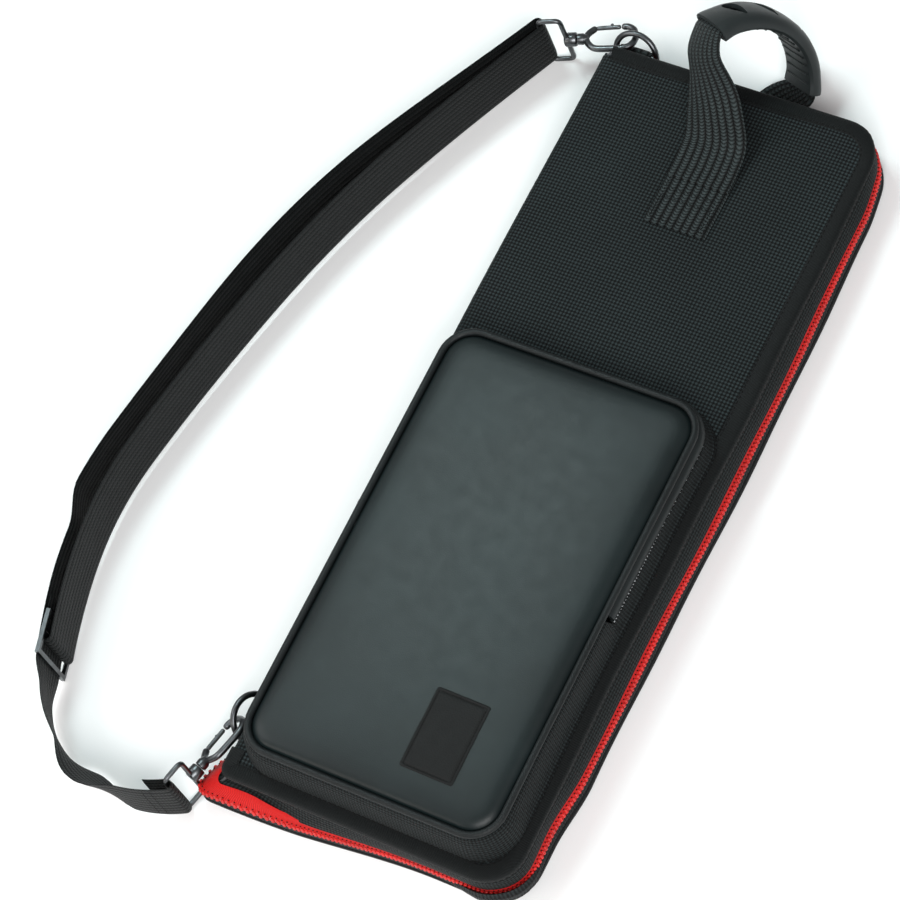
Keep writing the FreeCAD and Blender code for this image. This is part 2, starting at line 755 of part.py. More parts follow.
def main():
    os.makedirs("parts", exist_ok=True)
    make_back()
    make_sleeves()
    make_spine()
    make_front()
    make_inner_pocket()
    make_pocket()
    make_main_sliders()
    make_pocket_slider()
    make_grip()
    make_handle_webbing()
    make_hardware()
    make_strap()


main()
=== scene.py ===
import json
from math import cos, pi, radians, sin

import bpy
import numpy as np
from mathutils import Matrix, Vector

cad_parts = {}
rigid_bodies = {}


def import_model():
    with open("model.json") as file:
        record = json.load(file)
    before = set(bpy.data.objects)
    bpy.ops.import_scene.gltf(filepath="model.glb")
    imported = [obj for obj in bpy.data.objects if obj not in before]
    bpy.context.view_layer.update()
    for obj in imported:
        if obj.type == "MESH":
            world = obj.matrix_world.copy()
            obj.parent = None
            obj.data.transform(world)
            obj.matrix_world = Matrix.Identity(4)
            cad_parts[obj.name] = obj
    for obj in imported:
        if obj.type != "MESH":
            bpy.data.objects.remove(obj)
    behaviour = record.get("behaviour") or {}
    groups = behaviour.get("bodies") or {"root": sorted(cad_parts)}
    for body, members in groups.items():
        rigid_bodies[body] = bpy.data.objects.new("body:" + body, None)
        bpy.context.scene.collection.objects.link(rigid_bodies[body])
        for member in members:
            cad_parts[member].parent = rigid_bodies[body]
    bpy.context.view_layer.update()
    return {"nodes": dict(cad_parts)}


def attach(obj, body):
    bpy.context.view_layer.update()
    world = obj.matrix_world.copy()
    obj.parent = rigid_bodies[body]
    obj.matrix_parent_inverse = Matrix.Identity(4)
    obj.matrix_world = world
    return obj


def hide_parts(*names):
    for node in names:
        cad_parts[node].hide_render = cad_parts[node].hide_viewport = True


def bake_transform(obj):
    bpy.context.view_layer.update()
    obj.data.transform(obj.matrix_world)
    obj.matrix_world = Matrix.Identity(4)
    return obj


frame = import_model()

scene = bpy.context.scene
scene.view_settings.view_transform = "Standard"

# Lengths below are in millimetres. A piece turns them into metres when it is made.
MM = 0.001
LEFT, RIGHT, BOTTOM, TOP = -89.0, 89.0, -239.0, 239.0
SPINE_CORNER, ZIP_CORNER = 6.0, 24.0


# --- camera and light
def make_camera():
    data = bpy.data.cameras.new("camera")
    data.lens = 155.6
    data.sensor_width = 36
    data.clip_end = 20
    camera = bpy.data.objects.new("camera", data)
    scene.collection.objects.link(camera)
    right = Vector((0.861, 0.445, -0.246)).normalized()
    back = Vector((0.396, -0.285, 0.873)).normalized()
    up = back.cross(right).normalized()
    right = up.cross(back)
    turn = Matrix((right, up, back)).transposed().to_4x4()
    camera.matrix_world = Matrix.Translation((0.785, -0.629, 1.890)) @ turn
    scene.camera = camera


def area_light(name, spot, target, size, power, colour=(1, 1, 1)):
    data = bpy.data.lights.new(name, "AREA")
    data.shape = "RECTANGLE"
    data.size, data.size_y = size
    data.energy = power
    data.color = colour
    light = bpy.data.objects.new(name, data)
    scene.collection.objects.link(light)
    light.location = spot
    aim = Vector(target) - Vector(spot)
    light.rotation_euler = aim.to_track_quat("-Z", "Y").to_euler()


def make_stage():
    world = bpy.data.worlds.new("studio")
    world.use_nodes = True
    background = world.node_tree.nodes["Background"]
    background.inputs["Color"].default_value = (1, 1, 1, 1)
    background.inputs["Strength"].default_value = 0.34
    scene.world = world
    area_light("key", (1.3, -1.3, 1.9), (0, 0, 0), (1.6, 1.2), 62)
    area_light("fill", (-1.6, -0.6, 1.6), (0, 0, 0), (1.4, 1.4), 22)
    area_light("gloss", (-0.66, 0.44, 1.55), (0, 0, 0.05), (0.5, 0.35), 11, (0.8, 1, 1))
    area_light("low", (-0.9, -1.6, 0.7), (0, -0.1, 0), (0.8, 0.5), 7, (1, 0.93, 0.86))
    floor = Piece("floor")
    far, low = 3000.0, -0.3
    floor.grid([[(x, -far, low), (x, far, low)] for x in (-far, far)])
    floor.done([floor_finish()])


# --- meshes
def ease(t):
    t = np.clip(t, 0, 1)
    return t * t * (3 - 2 * t)


def unit(v):
    v = np.asarray(v, float)
    return v / np.maximum(np.linalg.norm(v, axis=-1, keepdims=True), 1e-9)


def circle(count):
    return [(cos(t), sin(t)) for t in np.linspace(0, 2 * pi, count, endpoint=False)]


def lengths(points):
    steps = np.linalg.norm(np.diff(np.asarray(points, float), axis=0), axis=1)
    return np.concatenate([[0], np.cumsum(steps)])


class Piece:
    """Grids and small parts gathered into one mesh, with lengths in mm as its UVs."""

    def __init__(self, name):
        self.name = name
        self.verts, self.faces, self.uvs, self.slots = [], [], [], []
        self.count = 0

    def add(self, verts, faces, uvs, slot=0):
        self.verts.append(np.asarray(verts, float))
        self.faces += [tuple(i + self.count for i in f) for f in faces]
        self.uvs += uvs
        self.slots += [slot] * len(faces)
        self.count += len(verts)

    def grid(
        self, points, us=None, vs=None, close_i=False, close_j=False, slot=0, plan=False, flip=False,
        caps=False,
    ):
        """A grid of points as quads; plan takes the UVs from x and y, caps closes the first and last rows."""
        points = np.asarray(points, float)
        rows, cols = points.shape[:2]
        if us is None:
            us = lengths(np.concatenate([points[:, 0], points[:1, 0]]))
        if vs is None:
            vs = lengths(np.concatenate([points[rows // 2], points[rows // 2, :1]]))
        faces, uvs = [], []
        for i in range(rows if close_i else rows - 1):
            for j in range(cols if close_j else cols - 1):
                a, b = (i + 1) % rows, (j + 1) % cols
                corners = [(i, j, i, j), (a, j, i + 1, j), (a, b, i + 1, j + 1), (i, b, i, j + 1)]
                if flip:
                    corners.reverse()
                faces.append(tuple(c[0] * cols + c[1] for c in corners))
                if plan:
                    uvs += [tuple(points[c[0], c[1], :2]) for c in corners]
                else:
                    uvs += [(us[c[2]], vs[c[3]]) for c in corners]
        if caps:
            for row, order in ((0, 1), (rows - 1, -1)):
                face = [row * cols + j for j in range(cols)][::-order if flip else order]
                faces.append(tuple(face))
                uvs += [(us[row], vs[j % cols]) for j in range(cols)]
        self.add(points.reshape(-1, 3), faces, uvs, slot)

    def beads(self, places, along, up, size, slot=0, sides=6, rings=4):
        """Small ellipsoids; size is the half length along, up and out."""
        ball, faces = [], []
        for r in range(rings + 1):
            a = pi * r / rings
            for k in range(sides):
                t = 2 * pi * k / sides
                ball.append((cos(a), sin(a) * cos(t), sin(a) * sin(t)))
        for r in range(rings):
            for k in range(sides):
                n = (k + 1) % sides
                faces.append((r * sides + k, r * sides + n, (r + 1) * sides + n, (r + 1) * sides + k))
        ball = np.array(ball) * np.asarray(size, float)
        for p, a, u in zip(places, along, up):
            a = unit(a)
            out = unit(np.cross(a, u))
            u = np.cross(out, a)
            verts = np.asarray(p) + ball @ np.array([a, u, out])
            self.add(verts, faces, [(0, 0)] * (4 * len(faces)), slot)

    def done(self, finishes, sharp=50):
        mesh = bpy.data.meshes.new(self.name)
        mesh.from_pydata((np.concatenate(self.verts) * MM).tolist(), [], self.faces)
        layer = mesh.uv_layers.new(name="UVMap")
        layer.data.foreach_set("uv", np.array(self.uvs, np.float32).ravel())
        for finish in finishes:
            mesh.materials.append(finish)
        mesh.polygons.foreach_set("material_index", self.slots)
        mesh.polygons.foreach_set("use_smooth", [True] * len(self.faces))
        mesh.set_sharp_from_angle(angle=radians(sharp))
        mesh.update()
        piece = bpy.data.objects.new(self.name, mesh)
        scene.collection.objects.link(piece)
        return piece

    def put(self, finishes, body, slot, *nodes, sharp=50):
        """Makes the piece, attaches it to its body and hides the CAD nodes it stands for; slot is not used.
        """
        return place(self.done(finishes, sharp), body, slot, *nodes)


def place(piece, body, slot, *nodes):
    if body:
        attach(piece, body)
    if nodes:
        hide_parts(*nodes)
    return piece


# --- materials
class Finish:
    """A procedural material, built up node by node."""

    def __init__(self, name, colour, roughness, **sockets):
        self.material = bpy.data.materials.new(name)
        self.material.use_nodes = True
        self.tree = self.material.node_tree
        self.surface = self.tree.nodes["Principled BSDF"]
        self.set("Base Color", (*colour, 1))
        self.set("Roughness", roughness)
        for key, value in sockets.items():
            self.set(key.replace("_", " "), value)
        self.relief = None

    def set(self, socket, value):
        self.surface.inputs[socket].default_value = value

    def node(self, kind, sockets, **settings):
        """A shader node; sockets gives numbers or other nodes' outputs for its inputs."""
        made = self.tree.nodes.new("ShaderNode" + kind)
        for key, value in settings.items():
            setattr(made, key, value)
        for key, value in sockets.items():
            if isinstance(value, bpy.types.NodeSocket):
                self.tree.links.new(value, made.inputs[key])
            else:
                made.inputs[key].default_value = value
        return made

    def drive(self, socket, value):
        self.tree.links.new(value, self.surface.inputs[socket])

    def math(self, operation, a, b=None):
        sockets = {0: a} if b is None else {0: a, 1: b}
        return self.node("Math", sockets, operation=operation).outputs[0]

    def uv(self, pitch_u, pitch_v):
        source = self.node("UVMap", {}, uv_map="UVMap").outputs[0]
        split = self.node("SeparateXYZ", {0: source}).outputs
        return self.math("DIVIDE", split[0], pitch_u), self.math("DIVIDE", split[1], pitch_v)

    def times(self, a, b):
        return self.math("MULTIPLY", a, b)

    def plus(self, a, b):
        return self.math("ADD", a, b)

    def place(self):
        return self.node("TexCoord", {}).outputs["Object"]

    def noise(self, size, detail):
        """Noise with spots about size mm across."""
        scaling = {0: self.place(), 1: [1000 / size] * 3}
        spread = self.node("VectorMath", scaling, operation="MULTIPLY").outputs[0]
        made = self.node("TexNoise", {"Scale": 1, "Detail": detail, "Vector": spread})
        return made.outputs["Fac"]

    def wave(self, phase):
        """0 to 1 and back for each whole step of phase."""
        return self.math("ABSOLUTE", self.math("SINE", self.times(phase, pi)))

    def colours(self, factor, *stops):
        ramp = self.node("ValToRGB", {0: factor})
        elements = ramp.color_ramp.elements
        while len(elements) < len(stops):
            elements.new(0.5)
        for element, (at, colour) in zip(elements, stops):
            element.position = at
            element.color = (*colour, 1)
        self.drive("Base Color", ramp.outputs[0])

    def rough(self, factor, low, high):
        ranged = self.node("MapRange", {0: factor, 3: low, 4: high})
        self.drive("Roughness", ranged.outputs[0])

    def bump(self, height, depth, strength=1.0):
        """Relief depth mm high, added over any relief already there."""
        sockets = {"Distance": depth * MM, "Strength": strength, "Height": height}
        if self.relief:
            sockets["Normal"] = self.relief
        self.relief = self.node("Bump", sockets).outputs[0]
        self.drive("Normal", self.relief)


def scaled(colour, k):
    return tuple(k * c for c in colour)


def woven(name, dark, light, pitch, depth):
    """Basket weave: dark holes between crossing yarns; its colour has painted shade in the holes and painted
    highlight on the crowns.
    """
    f = Finish(name, light, 0.75, Sheen_Weight=0.02, Sheen_Roughness=0.5, Specular_IOR_Level=0.14)
    u, v = f.uv(pitch, pitch)
    a, b = f.wave(u), f.wave(v)
    hole = f.math("MAXIMUM", a, b)
    crown = f.times(a, b)
    turn = f.times(*(f.math("SINE", f.times(phase, pi)) for phase in (u, v)))
    height = f.plus(f.plus(hole, f.times(crown, 0.5)), f.times(turn, 0.25))
    speckle = f.times(f.noise(0.9, 4), 0.35)
    # painted shade and highlight: darker in the holes between yarns, lighter on the crowns
    weave = f.plus(f.times(hole, 0.25), f.times(crown, 0.5))
    shade_and_tone = f.plus(f.plus(weave, speckle), f.times(f.noise(60, 2), 0.14))
    f.colours(shade_and_tone, (0.45, dark), (0.7, scaled(light, 0.6)), (0.95, scaled(light, 1.5)))
    f.rough(speckle, 0.65, 0.95)
    f.bump(height, depth)
    return f.material


def twill(name, dark, light, pitch, depth, rough=0.6):
    """Fine slanting ridges, coloured with painted shade in the grooves and painted highlight on the ridges.
    """
    f = Finish(name, light, rough, Sheen_Weight=0.02, Sheen_Roughness=0.4, Specular_IOR_Level=0.16)
    ridge = f.wave(f.plus(*f.uv(pitch, pitch)))
    # painted shade in the grooves and painted highlight on the ridges, plus random noise
    shade_and_tone = f.plus(f.times(ridge, 0.7), f.times(f.noise(1.2, 4), 0.4))
    f.colours(shade_and_tone, (0.35, dark), (1.0, light))
    f.rough(ridge, rough + 0.1, rough)
    f.bump(ridge, depth)
    f.bump(f.noise(7, 2), 0.15, 0.5)
    return f.material


def ribbed(name, dark, light, rib, link, depth):
    """Webbing: ribs along it, each a chain of small crescents, coloured with painted shade in the gaps and
    painted highlight on the crests.
    """
    f = Finish(name, light, 0.6, Sheen_Weight=0.02, Sheen_Roughness=0.45, Specular_IOR_Level=0.16)
    u, v = f.uv(link, rib)
    ridge = f.wave(v)
    chain = f.wave(f.plus(u, f.times(f.times(ridge, ridge), 0.45)))
    height = f.times(f.math("POWER", ridge, 0.6), f.plus(f.times(chain, 0.55), 0.45))
    # painted shade in the gaps and painted highlight on the rib crests, plus random noise
    shade_and_tone = f.plus(f.times(height, 0.85), f.times(f.noise(1.5, 4), 0.25))
    f.colours(shade_and_tone, (0.42, dark), (0.8, scaled(light, 0.6)), (1.02, light))
    f.bump(height, depth)
    return f.material


def leather(name, colour, rough, grain, depth, coat=0.0):
    f = Finish(name, colour, rough, Coat_Weight=coat, Coat_Roughness=0.35, Specular_IOR_Level=0.24)
    f.colours(f.noise(45, 3), (0.3, scaled(colour, 0.75)), (0.7, scaled(colour, 1.2)))
    f.rough(f.noise(8, 5), rough - 0.06, rough + 0.08)
    cells = f.node("TexVoronoi", {"Vector": f.place(), "Scale": 1000 / grain}, feature="DISTANCE_TO_EDGE")
    f.bump(f.math("MINIMUM", cells.outputs["Distance"], 0.25), depth)
    f.bump(f.noise(14, 3), 0.12, 0.4)
    return f.material


def metal(name, colour, rough):
    f = Finish(name, colour, rough, Metallic=1.0)
    f.colours(f.noise(5, 4), (0.35, scaled(colour, 0.8)), (0.7, scaled(colour, 1.25)))
    f.rough(f.noise(3, 5), rough - 0.06, rough + 0.12)
    f.bump(f.noise(1.2, 3), 0.02, 0.4)
    return f.material


def moulded(name, colour, rough):
    f = Finish(name, colour, rough, Specular_IOR_Level=0.35)
    f.colours(f.noise(20, 3), (0.3, scaled(colour, 0.85)), (0.7, scaled(colour, 1.15)))
    f.rough(f.noise(2.5, 4), rough - 0.05, rough + 0.1)
    f.bump(f.noise(0.5, 2), 0.03, 0.5)
    return f.material


def floor_finish():
    f = Finish("floor_paper", (0.86, 0.86, 0.86), 0.85)
    f.colours(f.noise(400, 2), (0.3, (0.90, 0.90, 0.90)), (0.7, (0.92, 0.92, 0.92)))
    return f.material


NYLON = woven("nylon_weave", (0.0006, 0.0007, 0.0007), (0.014, 0.020, 0.021), 2.1, 0.35)
# A darker copy of the body nylon for the side walls: painted shade.
SHADED_WALL_NYLON = woven("gusset_weave_shaded", (0.0004, 0.0005, 0.0005), (0.010, 0.0135, 0.014), 1.9, 0.4)
BINDING = twill("binding_twill", (0.0005, 0.0006, 0.0006), (0.0085, 0.011, 0.0115), 1.15, 0.25)
WEBBING = ribbed("handle_webbing_weave", (0.0005, 0.0007, 0.0007), (0.036, 0.047, 0.048), 4.6, 1.9, 0.8)
STRAP = ribbed("strap_webbing_weave", (0.0004, 0.0005, 0.0005), (0.0085, 0.0115, 0.012), 3.8, 1.9, 0.5)
LINING = woven("lining_weave", (0.008, 0.008, 0.009), (0.05, 0.052, 0.055), 0.9, 0.12)
FOAM = moulded("foam_cells", (0.09, 0.09, 0.095), 0.9)
RED_TAPE = twill("red_tape_twill", (0.36, 0.004, 0.004), (0.60, 0.012, 0.010), 0.9, 0.12, 0.55)
RED_TEETH = moulded("red_teeth", (0.55, 0.012, 0.010), 0.35)
THREAD = twill("black_thread", (0.001, 0.0012, 0.0012), (0.009, 0.011, 0.011), 0.5, 0.1)
LEATHER = leather("pocket_leather", (0.0055, 0.0100, 0.0106), 0.40, 0.9, 0.05, 0.03)
FLANGE = leather("flange_leather", (0.006, 0.0085, 0.009), 0.48, 0.8, 0.06)
PIPING = leather("piping_leather", (0.005, 0.007, 0.0075), 0.46, 1.3, 0.3)
PATCH = leather("patch_leather", (0.0016, 0.0020, 0.0020), 0.6, 1.5, 0.3)
RUBBER = moulded("grip_rubber", (0.012, 0.016, 0.0165), 0.45)
GUNMETAL = metal("gunmetal", (0.10, 0.105, 0.11), 0.3)
SILVER = metal("nickel", (0.62, 0.62, 0.62), 0.22)
SILVER_COIL = moulded("coil_nylon", (0.30, 0.31, 0.32), 0.35)
BLACK_METAL = metal("black_metal", (0.030, 0.032, 0.034), 0.38)


# --- the sewn bag's form
def soften(points):
    """The bag's slack: thinner at its top end, drawn out at the strap's lower corner, gently uneven."""
    p = np.array(points, float)
    x, y, z = p[..., 0].copy(), p[..., 1].copy(), p[..., 2].copy()
    keep = 1 - 0.24 * ease((y - 60) / 170)
    p[..., 2] = np.minimum(z, 17) + np.maximum(z - 17, 0) * keep
    corner = ease((-202 - y) / 36) * ease((-42 - x) / 44) * ease((31 - z) / 17)
    p[..., 0] -= 18 * corner
    p[..., 1] -= 9 * ease((-208 - y) / 31) * ease((40 - x) / 120) * ease((32 - z) / 18)
    side = ease((x - 76) / 10)
    p[..., 0] += side * (1.0 * np.sin(y / 58 + 0.6) + 0.35 * np.sin(y / 17 + z / 7))
    p[..., 0] += 4.2 * side * ease((34 - z) / 18) * ease((230 - y) / 40) * ease((y + 200) / 40)
    spine = ease((-78 - x) / 8) * ease(np.sin(np.pi * np.clip(z / 36, 0, 1)) ** 2)
    p[..., 0] += spine * (1.2 + 0.6 * np.sin(y / 33))
    return p


def rounded(x0, x1, y0, y1, r_left, r_right, step=3.5):
    """Points and outward normals clockwise from the top left corner's end."""
    corners = ((x1 - r_right, y1 - r_right, r_right, 90), (x1 - r_right, y0 + r_right, r_right, 0))
    corners += ((x0 + r_left, y0 + r_left, r_left, -90), (x0 + r_left, y1 - r_left, r_left, -180))
    points, normals = [], []
    for k, (cx, cy, r, start) in enumerate(corners):
        turns = max(5, int(r / 2.2))
        for t in range(turns + 1):
            a = radians(start - 90 * t / turns)
            normals.append((cos(a), sin(a)))
            points.append((cx + r * normals[-1][0], cy + r * normals[-1][1]))
        nx, ny, nr, nstart = corners[(k + 1) % 4]
        a = radians(nstart)
        ahead = np.array((nx + nr * cos(a), ny + nr * sin(a)))
        here = np.array(points[-1])
        runs = int(np.linalg.norm(ahead - here) / step)
        for t in range(1, runs):
            points.append(tuple(here + (ahead - here) * t / runs))
            normals.append(normals[-1])
    return np.array(points), np.array(normals)


def edge_distance(x, y, x0, x1, y0, y1, r_left, r_right):
    """How far inside a rounded rectangle a point is."""
    cx, cy = (x0 + x1) / 2, (y0 + y1) / 2
    r = np.where(x < cx, r_left, r_right)
    qx = np.abs(x - cx) - (x1 - x0) / 2 + r
    qy = np.abs(y - cy) - (y1 - y0) / 2 + r
    outside = np.hypot(np.maximum(qx, 0), np.maximum(qy, 0))
    return -(np.minimum(np.maximum(qx, qy), 0) + outside - r)


BAG = (LEFT, RIGHT, BOTTOM, TOP, SPINE_CORNER, ZIP_CORNER)
POCKET = (-79.0, 79.0, -226.0, 40.0, 20.0, 20.0)
BAG_LINE = rounded(*BAG)
POCKET_LINE = rounded(*POCKET)


def sweep(piece, line, profile, slot=0, span=None):
    """Carries a profile of (inset, height) along a line, or right round it where no span is given.

    profile may be a function of (x, y).
    """
    points, normals = line if span is None else (line[0][span], line[1][span])
    rows = []
    for p, n in zip(points, normals):
        shape = profile(p[0], p[1]) if callable(profile) else profile
        rows.append([(p[0] - n[0] * d, p[1] - n[1] * d, z) for d, z in shape])
    flat = np.column_stack([points, np.zeros(len(points))])
    us = lengths(np.concatenate([flat, flat[:1]]))
    whole = span is None
    piece.grid(soften(rows), us=us, close_i=whole, close_j=True, slot=slot, caps=not whole)


def zip_span():
    """The part of the bag's outline with the zip: from the spine's top round to its bottom end."""
    points = BAG_LINE[0]
    start = next(i for i in range(len(points) - 1, 0, -1) if points[i][0] < LEFT + 0.01) + 1
    order = list(range(start + 3, len(points))) + list(range(len(points)))
    keep = []
    for i in order:
        keep.append(i)
        x, y = points[i]
        if len(keep) > 60 and x < LEFT + 0.5 and y > BOTTOM + 16:
            break
    return np.array(keep)


def inside_line(line, medial, shares):
    """Rings that shrink from a line of points to a segment inside it."""
    points = line[0]
    (x0, y0), (x1, y1) = medial
    core = np.column_stack([np.clip(points[:, 0], x0, x1), np.clip(points[:, 1], y0, y1)])
    return np.array([points * (1 - t) + core * t for t in shares])


def layer(piece, outline, medial, top, bottom, shares, slots=(0, 0)):
    """A padded panel with its own top and bottom heights, closed at its edge."""
    rings = inside_line(rounded(*outline), medial, shares)
    x, y = rings[..., 0], rings[..., 1]
    inset = edge_distance(x, y, *outline)
    faces = [np.dstack([x, y, height(x, y, inset)]) for height in (top, bottom)]
    for rows, slot, flip in zip(faces, slots, (True, False)):
        piece.grid(soften(rows), close_j=True, slot=slot, plan=True, flip=flip)
    rim = soften([rows[0] for rows in faces])
    piece.grid(rim, close_j=True, slot=slots[0], plan=True)


def inset_outline(outline, d):
    x0, x1, y0, y1, a, b = outline
    return (x0 + d, x1 - d, y0 + d, y1 - d, max(a - d, 1.0), max(b - d, 1.0))


def stitch_row(
    piece, line, inset, height, pitch=3.4, size=(1.15, 0.28, 0.32), slot=0, soft=True, span=None, keep=None
):
    """Separate thread stitches along a line at an inset; height may depend on (x, y)."""
    points, normals = line if span is None else (line[0][span], line[1][span])
    path = points - normals * inset
    if span is None:
        path = np.concatenate([path, path[:1]])
    along = lengths(np.column_stack([path, np.zeros(len(path))]))
    places = np.arange(pitch / 2, along[-1], pitch)
    xs, ys = (np.interp(places, along, path[:, k]) for k in (0, 1))
    zs = [height(x, y) if callable(height) else height for x, y in zip(xs, ys)]
    spots = np.column_stack([xs, ys, zs])
    ahead = np.column_stack([*(np.interp(places + 0.5, along, path[:, k]) for k in (0, 1)), zs])
    if keep is not None:
        chosen = [i for i, (x, y) in enumerate(zip(xs, ys)) if keep(x, y)]
        spots, ahead = spots[chosen], ahead[chosen]
    if soft:
        spots, ahead = soften(spots), soften(ahead)
    piece.beads(spots, ahead - spots, [(0, 0, 1)] * len(spots), size, slot)


# --- covers and walls
SHARES = (0, 0.02, 0.05, 0.09, 0.14, 0.2, 0.28, 0.37, 0.47, 0.58, 0.69, 0.8, 0.9, 0.97, 1.0)
MEDIAL = ((0, -150), (0, 150))


def front_height(x, y, inset):
    """The front fabric: pillowed inside the binding, and rolled over the unbound spine side."""
    pillow = 36.0 + 1.0 * (1 - np.exp(-inset / 12.0))
    wave = 0.35 * np.sin(x / 31 + y / 47) + 0.25 * np.sin(x / 19 - y / 23)
    roll = np.clip((LEFT + 7 - x) / 7.3, 0, 1)
    return pillow + wave * ease(inset / 20) - 5.6 * (1 - np.sqrt(1 - 0.98 * roll**2))


def level(z):
    return lambda x, y, inset: z + 0 * x


def make_covers():
    wrapped = (LEFT - 0.3, RIGHT - 7, BOTTOM + 6.5, TOP - 6.5, 2.0, ZIP_CORNER - 7)
    plain, inner = inset_outline(BAG, 7.0), inset_outline(BAG, 2.6)
    front, back = "front_cover", "bag_back"
    under = lambda x, y, d: np.minimum(front_height(x, y, d) - 1.2, 34.1)
    belly = lambda x, y, d: 0.9 - 0.6 * ease(d / 25)
    for name, body, node, outline, top, bottom, finish, slot in (
        ("front_fabric", front, "front_outer_panel", wrapped, front_height, under, NYLON, "body_nylon"),
        ("front_padding", front, "front_foam_pad", inner, level(33.9), level(31.9), FOAM, "foam"),
        ("front_lining_cloth", front, "front_lining", inner, level(31.8), level(31.0), LINING, "lining"),
        ("back_fabric", back, "back_outer_panel", plain, level(1.9), belly, NYLON, "body_nylon"),
        ("back_padding", back, "back_foam_pad", inner, level(4.2), level(2.0), FOAM, "foam"),
        ("back_lining_cloth", back, "back_lining", inner, level(4.9), level(4.3), LINING, "lining"),
    ):
        panel = Piece(name)
        layer(panel, outline, MEDIAL, top, bottom, SHARES)
        panel.put([finish], body, slot, node)


# Sections of the two edge tapes, as (inset, height).
FRONT_EDGE = ((9.2, 36.2), (8.8, 36.9), (6.5, 37.15), (4.0, 37.2), (2.0, 36.9), (0.6, 36.2), (-0.2, 34.9))
FRONT_EDGE += ((-0.3, 33.2), (0.0, 31.8), (0.9, 31.0), (2.2, 31.0), (2.6, 32.2), (3.0, 35.3), (8.9, 35.6))
BACK_EDGE = ((9.2, 0.7), (8.8, 0.2), (6.5, 0.05), (4.0, 0.0), (2.0, 0.15), (0.6, 0.8), (-0.2, 1.9))
BACK_EDGE += ((-0.3, 3.3), (0.0, 4.5), (0.9, 5.1), (2.2, 5.1), (2.6, 4.0), (3.0, 1.6), (8.9, 1.1))


def make_bindings():
    def front(x, y):
        drift = 0.35 * sin(x / 13 + y / 19)
        return [(d + (drift if d > 6 else 0), z) for d, z in FRONT_EDGE]

    tape = Piece("front_edge_tape")
    span = zip_span()
    sweep(tape, BAG_LINE, front, span=span)
    stitch_row(tape, BAG_LINE, 8.0, 37.0, slot=1, span=span)
    stitch_row(tape, BAG_LINE, -0.15, 32.4, slot=1, size=(1.15, 0.3, 0.3), span=span)
    tape.put([BINDING, THREAD], "front_cover", "binding", "front_binding")
    tape = Piece("back_edge_tape")
    sweep(tape, BAG_LINE, BACK_EDGE)
    stitch_row(tape, BAG_LINE, 8.0, 0.25, slot=1, size=(1.15, 0.2, 0.32))
    tape.put([BINDING, THREAD], "bag_back", "binding", "back_binding")


def at_corner(x, y):
    """1 at the strap's lower corner, where the bag's mouth gapes, and 0 away from it."""
    return float(ease((-196 - y) / 30) * ease((-30 - x) / 50))


def tape_top(x, y):
    """The red tape shows wider at that corner and narrows along the bottom run."""
    return 19.9 + (3.4 + 0.8 * sin(x / 6)) * at_corner(x, y)


def make_zip_side():
    span = zip_span()

    def gusset(x, y):
        low = tape_top(x, y) - 0.5
        deep = 5.5 * at_corner(x, y)
        inner = deep + 1.6
        outside = ((1.1 + 0.3 * deep, 31.4), (0.5 + deep, 29.5), (0.1 + deep, (low + 31) / 2))
        foot = ((0.3 + 0.7 * deep, low + 0.6), (0.8, low), (1.7 + 0.5 * deep, low + 0.4))
        return outside + foot + ((inner, 27), (inner, 31.4))

    wall = Piece("front_wall_cloth")
    sweep(wall, BAG_LINE, gusset, span=span)
    wall.put([SHADED_WALL_NYLON], "front_cover", "body_nylon", "front_gusset")

    def tape(x, y):
        top = tape_top(x, y)
        shape = ((1.5, top + 1.4), (0.75, top + 1.0), (0.7, top - 1))
        return shape + ((0.45, 17.2), (0.5, 16.2), (1.4, 16.2), (1.6, top))

    red = Piece("front_zip_cloth")
    sweep(red, BAG_LINE, tape, span=span)
    stitch_row(red, BAG_LINE, 0.3, 17.7, pitch=2.5, size=(0.5, 0.5, 0.35), slot=1, span=span)
    red.put([RED_TAPE, THREAD], "front_cover", "red_tape", "zip_tape_front")

    red = Piece("back_zip_cloth")
    lower = ((1.5, 12.4), (0.5, 12.4), (0.5, 9.4), (1.5, 9.2))
    sweep(red, BAG_LINE, lower, span=span)
    red.put([RED_TAPE], "bag_back", "red_tape", "zip_tape_back")

    def back_wall(x, y):
        """The low back wall, which swells out past the teeth at the far bottom corner."""
        swell = 2.6 * float(ease((-205 - y) / 25) * ease((x - 40) / 30))
        still = ((0.9, 4.8), (0.3, 6.0), (0.1, 8.2), (0.3, 10.6), (1.0, 10.8), (1.7, 9.0), (2.1, 4.8))
        moved = ((0, 0), (-0.6, 0), (-1.2, 0), (-1.5, 2.2), (-1.3, 3.6), (-0.9, 2.9), (0, 0))
        return [(d + a * swell, z + b * swell) for (d, z), (a, b) in zip(still, moved)]

    wall = Piece("back_wall_cloth")
    sweep(wall, BAG_LINE, back_wall, span=span)
    wall.put([SHADED_WALL_NYLON], "bag_back", "body_nylon", "back_side_wall")


def make_chains():
    span = zip_span()
    points = BAG_LINE[0]
    before = [k for k, i in enumerate(span) if points[i][1] > TOP - 1 and points[i][0] < -31]
    after = [k for k, i in enumerate(span) if not (points[i][1] > TOP - 1 and points[i][0] < -1)]
    closed = lambda x, y: not (y > TOP - 2 and -31 < x < -1)
    for name, body, node, low in (
        ("back_zip_teeth", "bag_back", "zip_chain_back", 12.2),
        ("front_zip_teeth", "front_cover", "zip_chain_front", 14.5),
    ):
        chain = Piece(name)
        steps = ((1.9, 0), (0.7, 0), (0.4, 0.5), (0.4, 1.5), (0.7, 2.0), (1.9, 2.0))
        cord = [(d, low + up) for d, up in steps]
        for part in (before, after):
            sweep(chain, BAG_LINE, cord, span=span[part])
        tooth = (1.12, 1.05, 0.95)
        stitch_row(chain, BAG_LINE, 0.1, low + 1.0, pitch=2.5, size=tooth, span=span, keep=closed)
        chain.put([RED_TEETH], body, "red_chain", node)


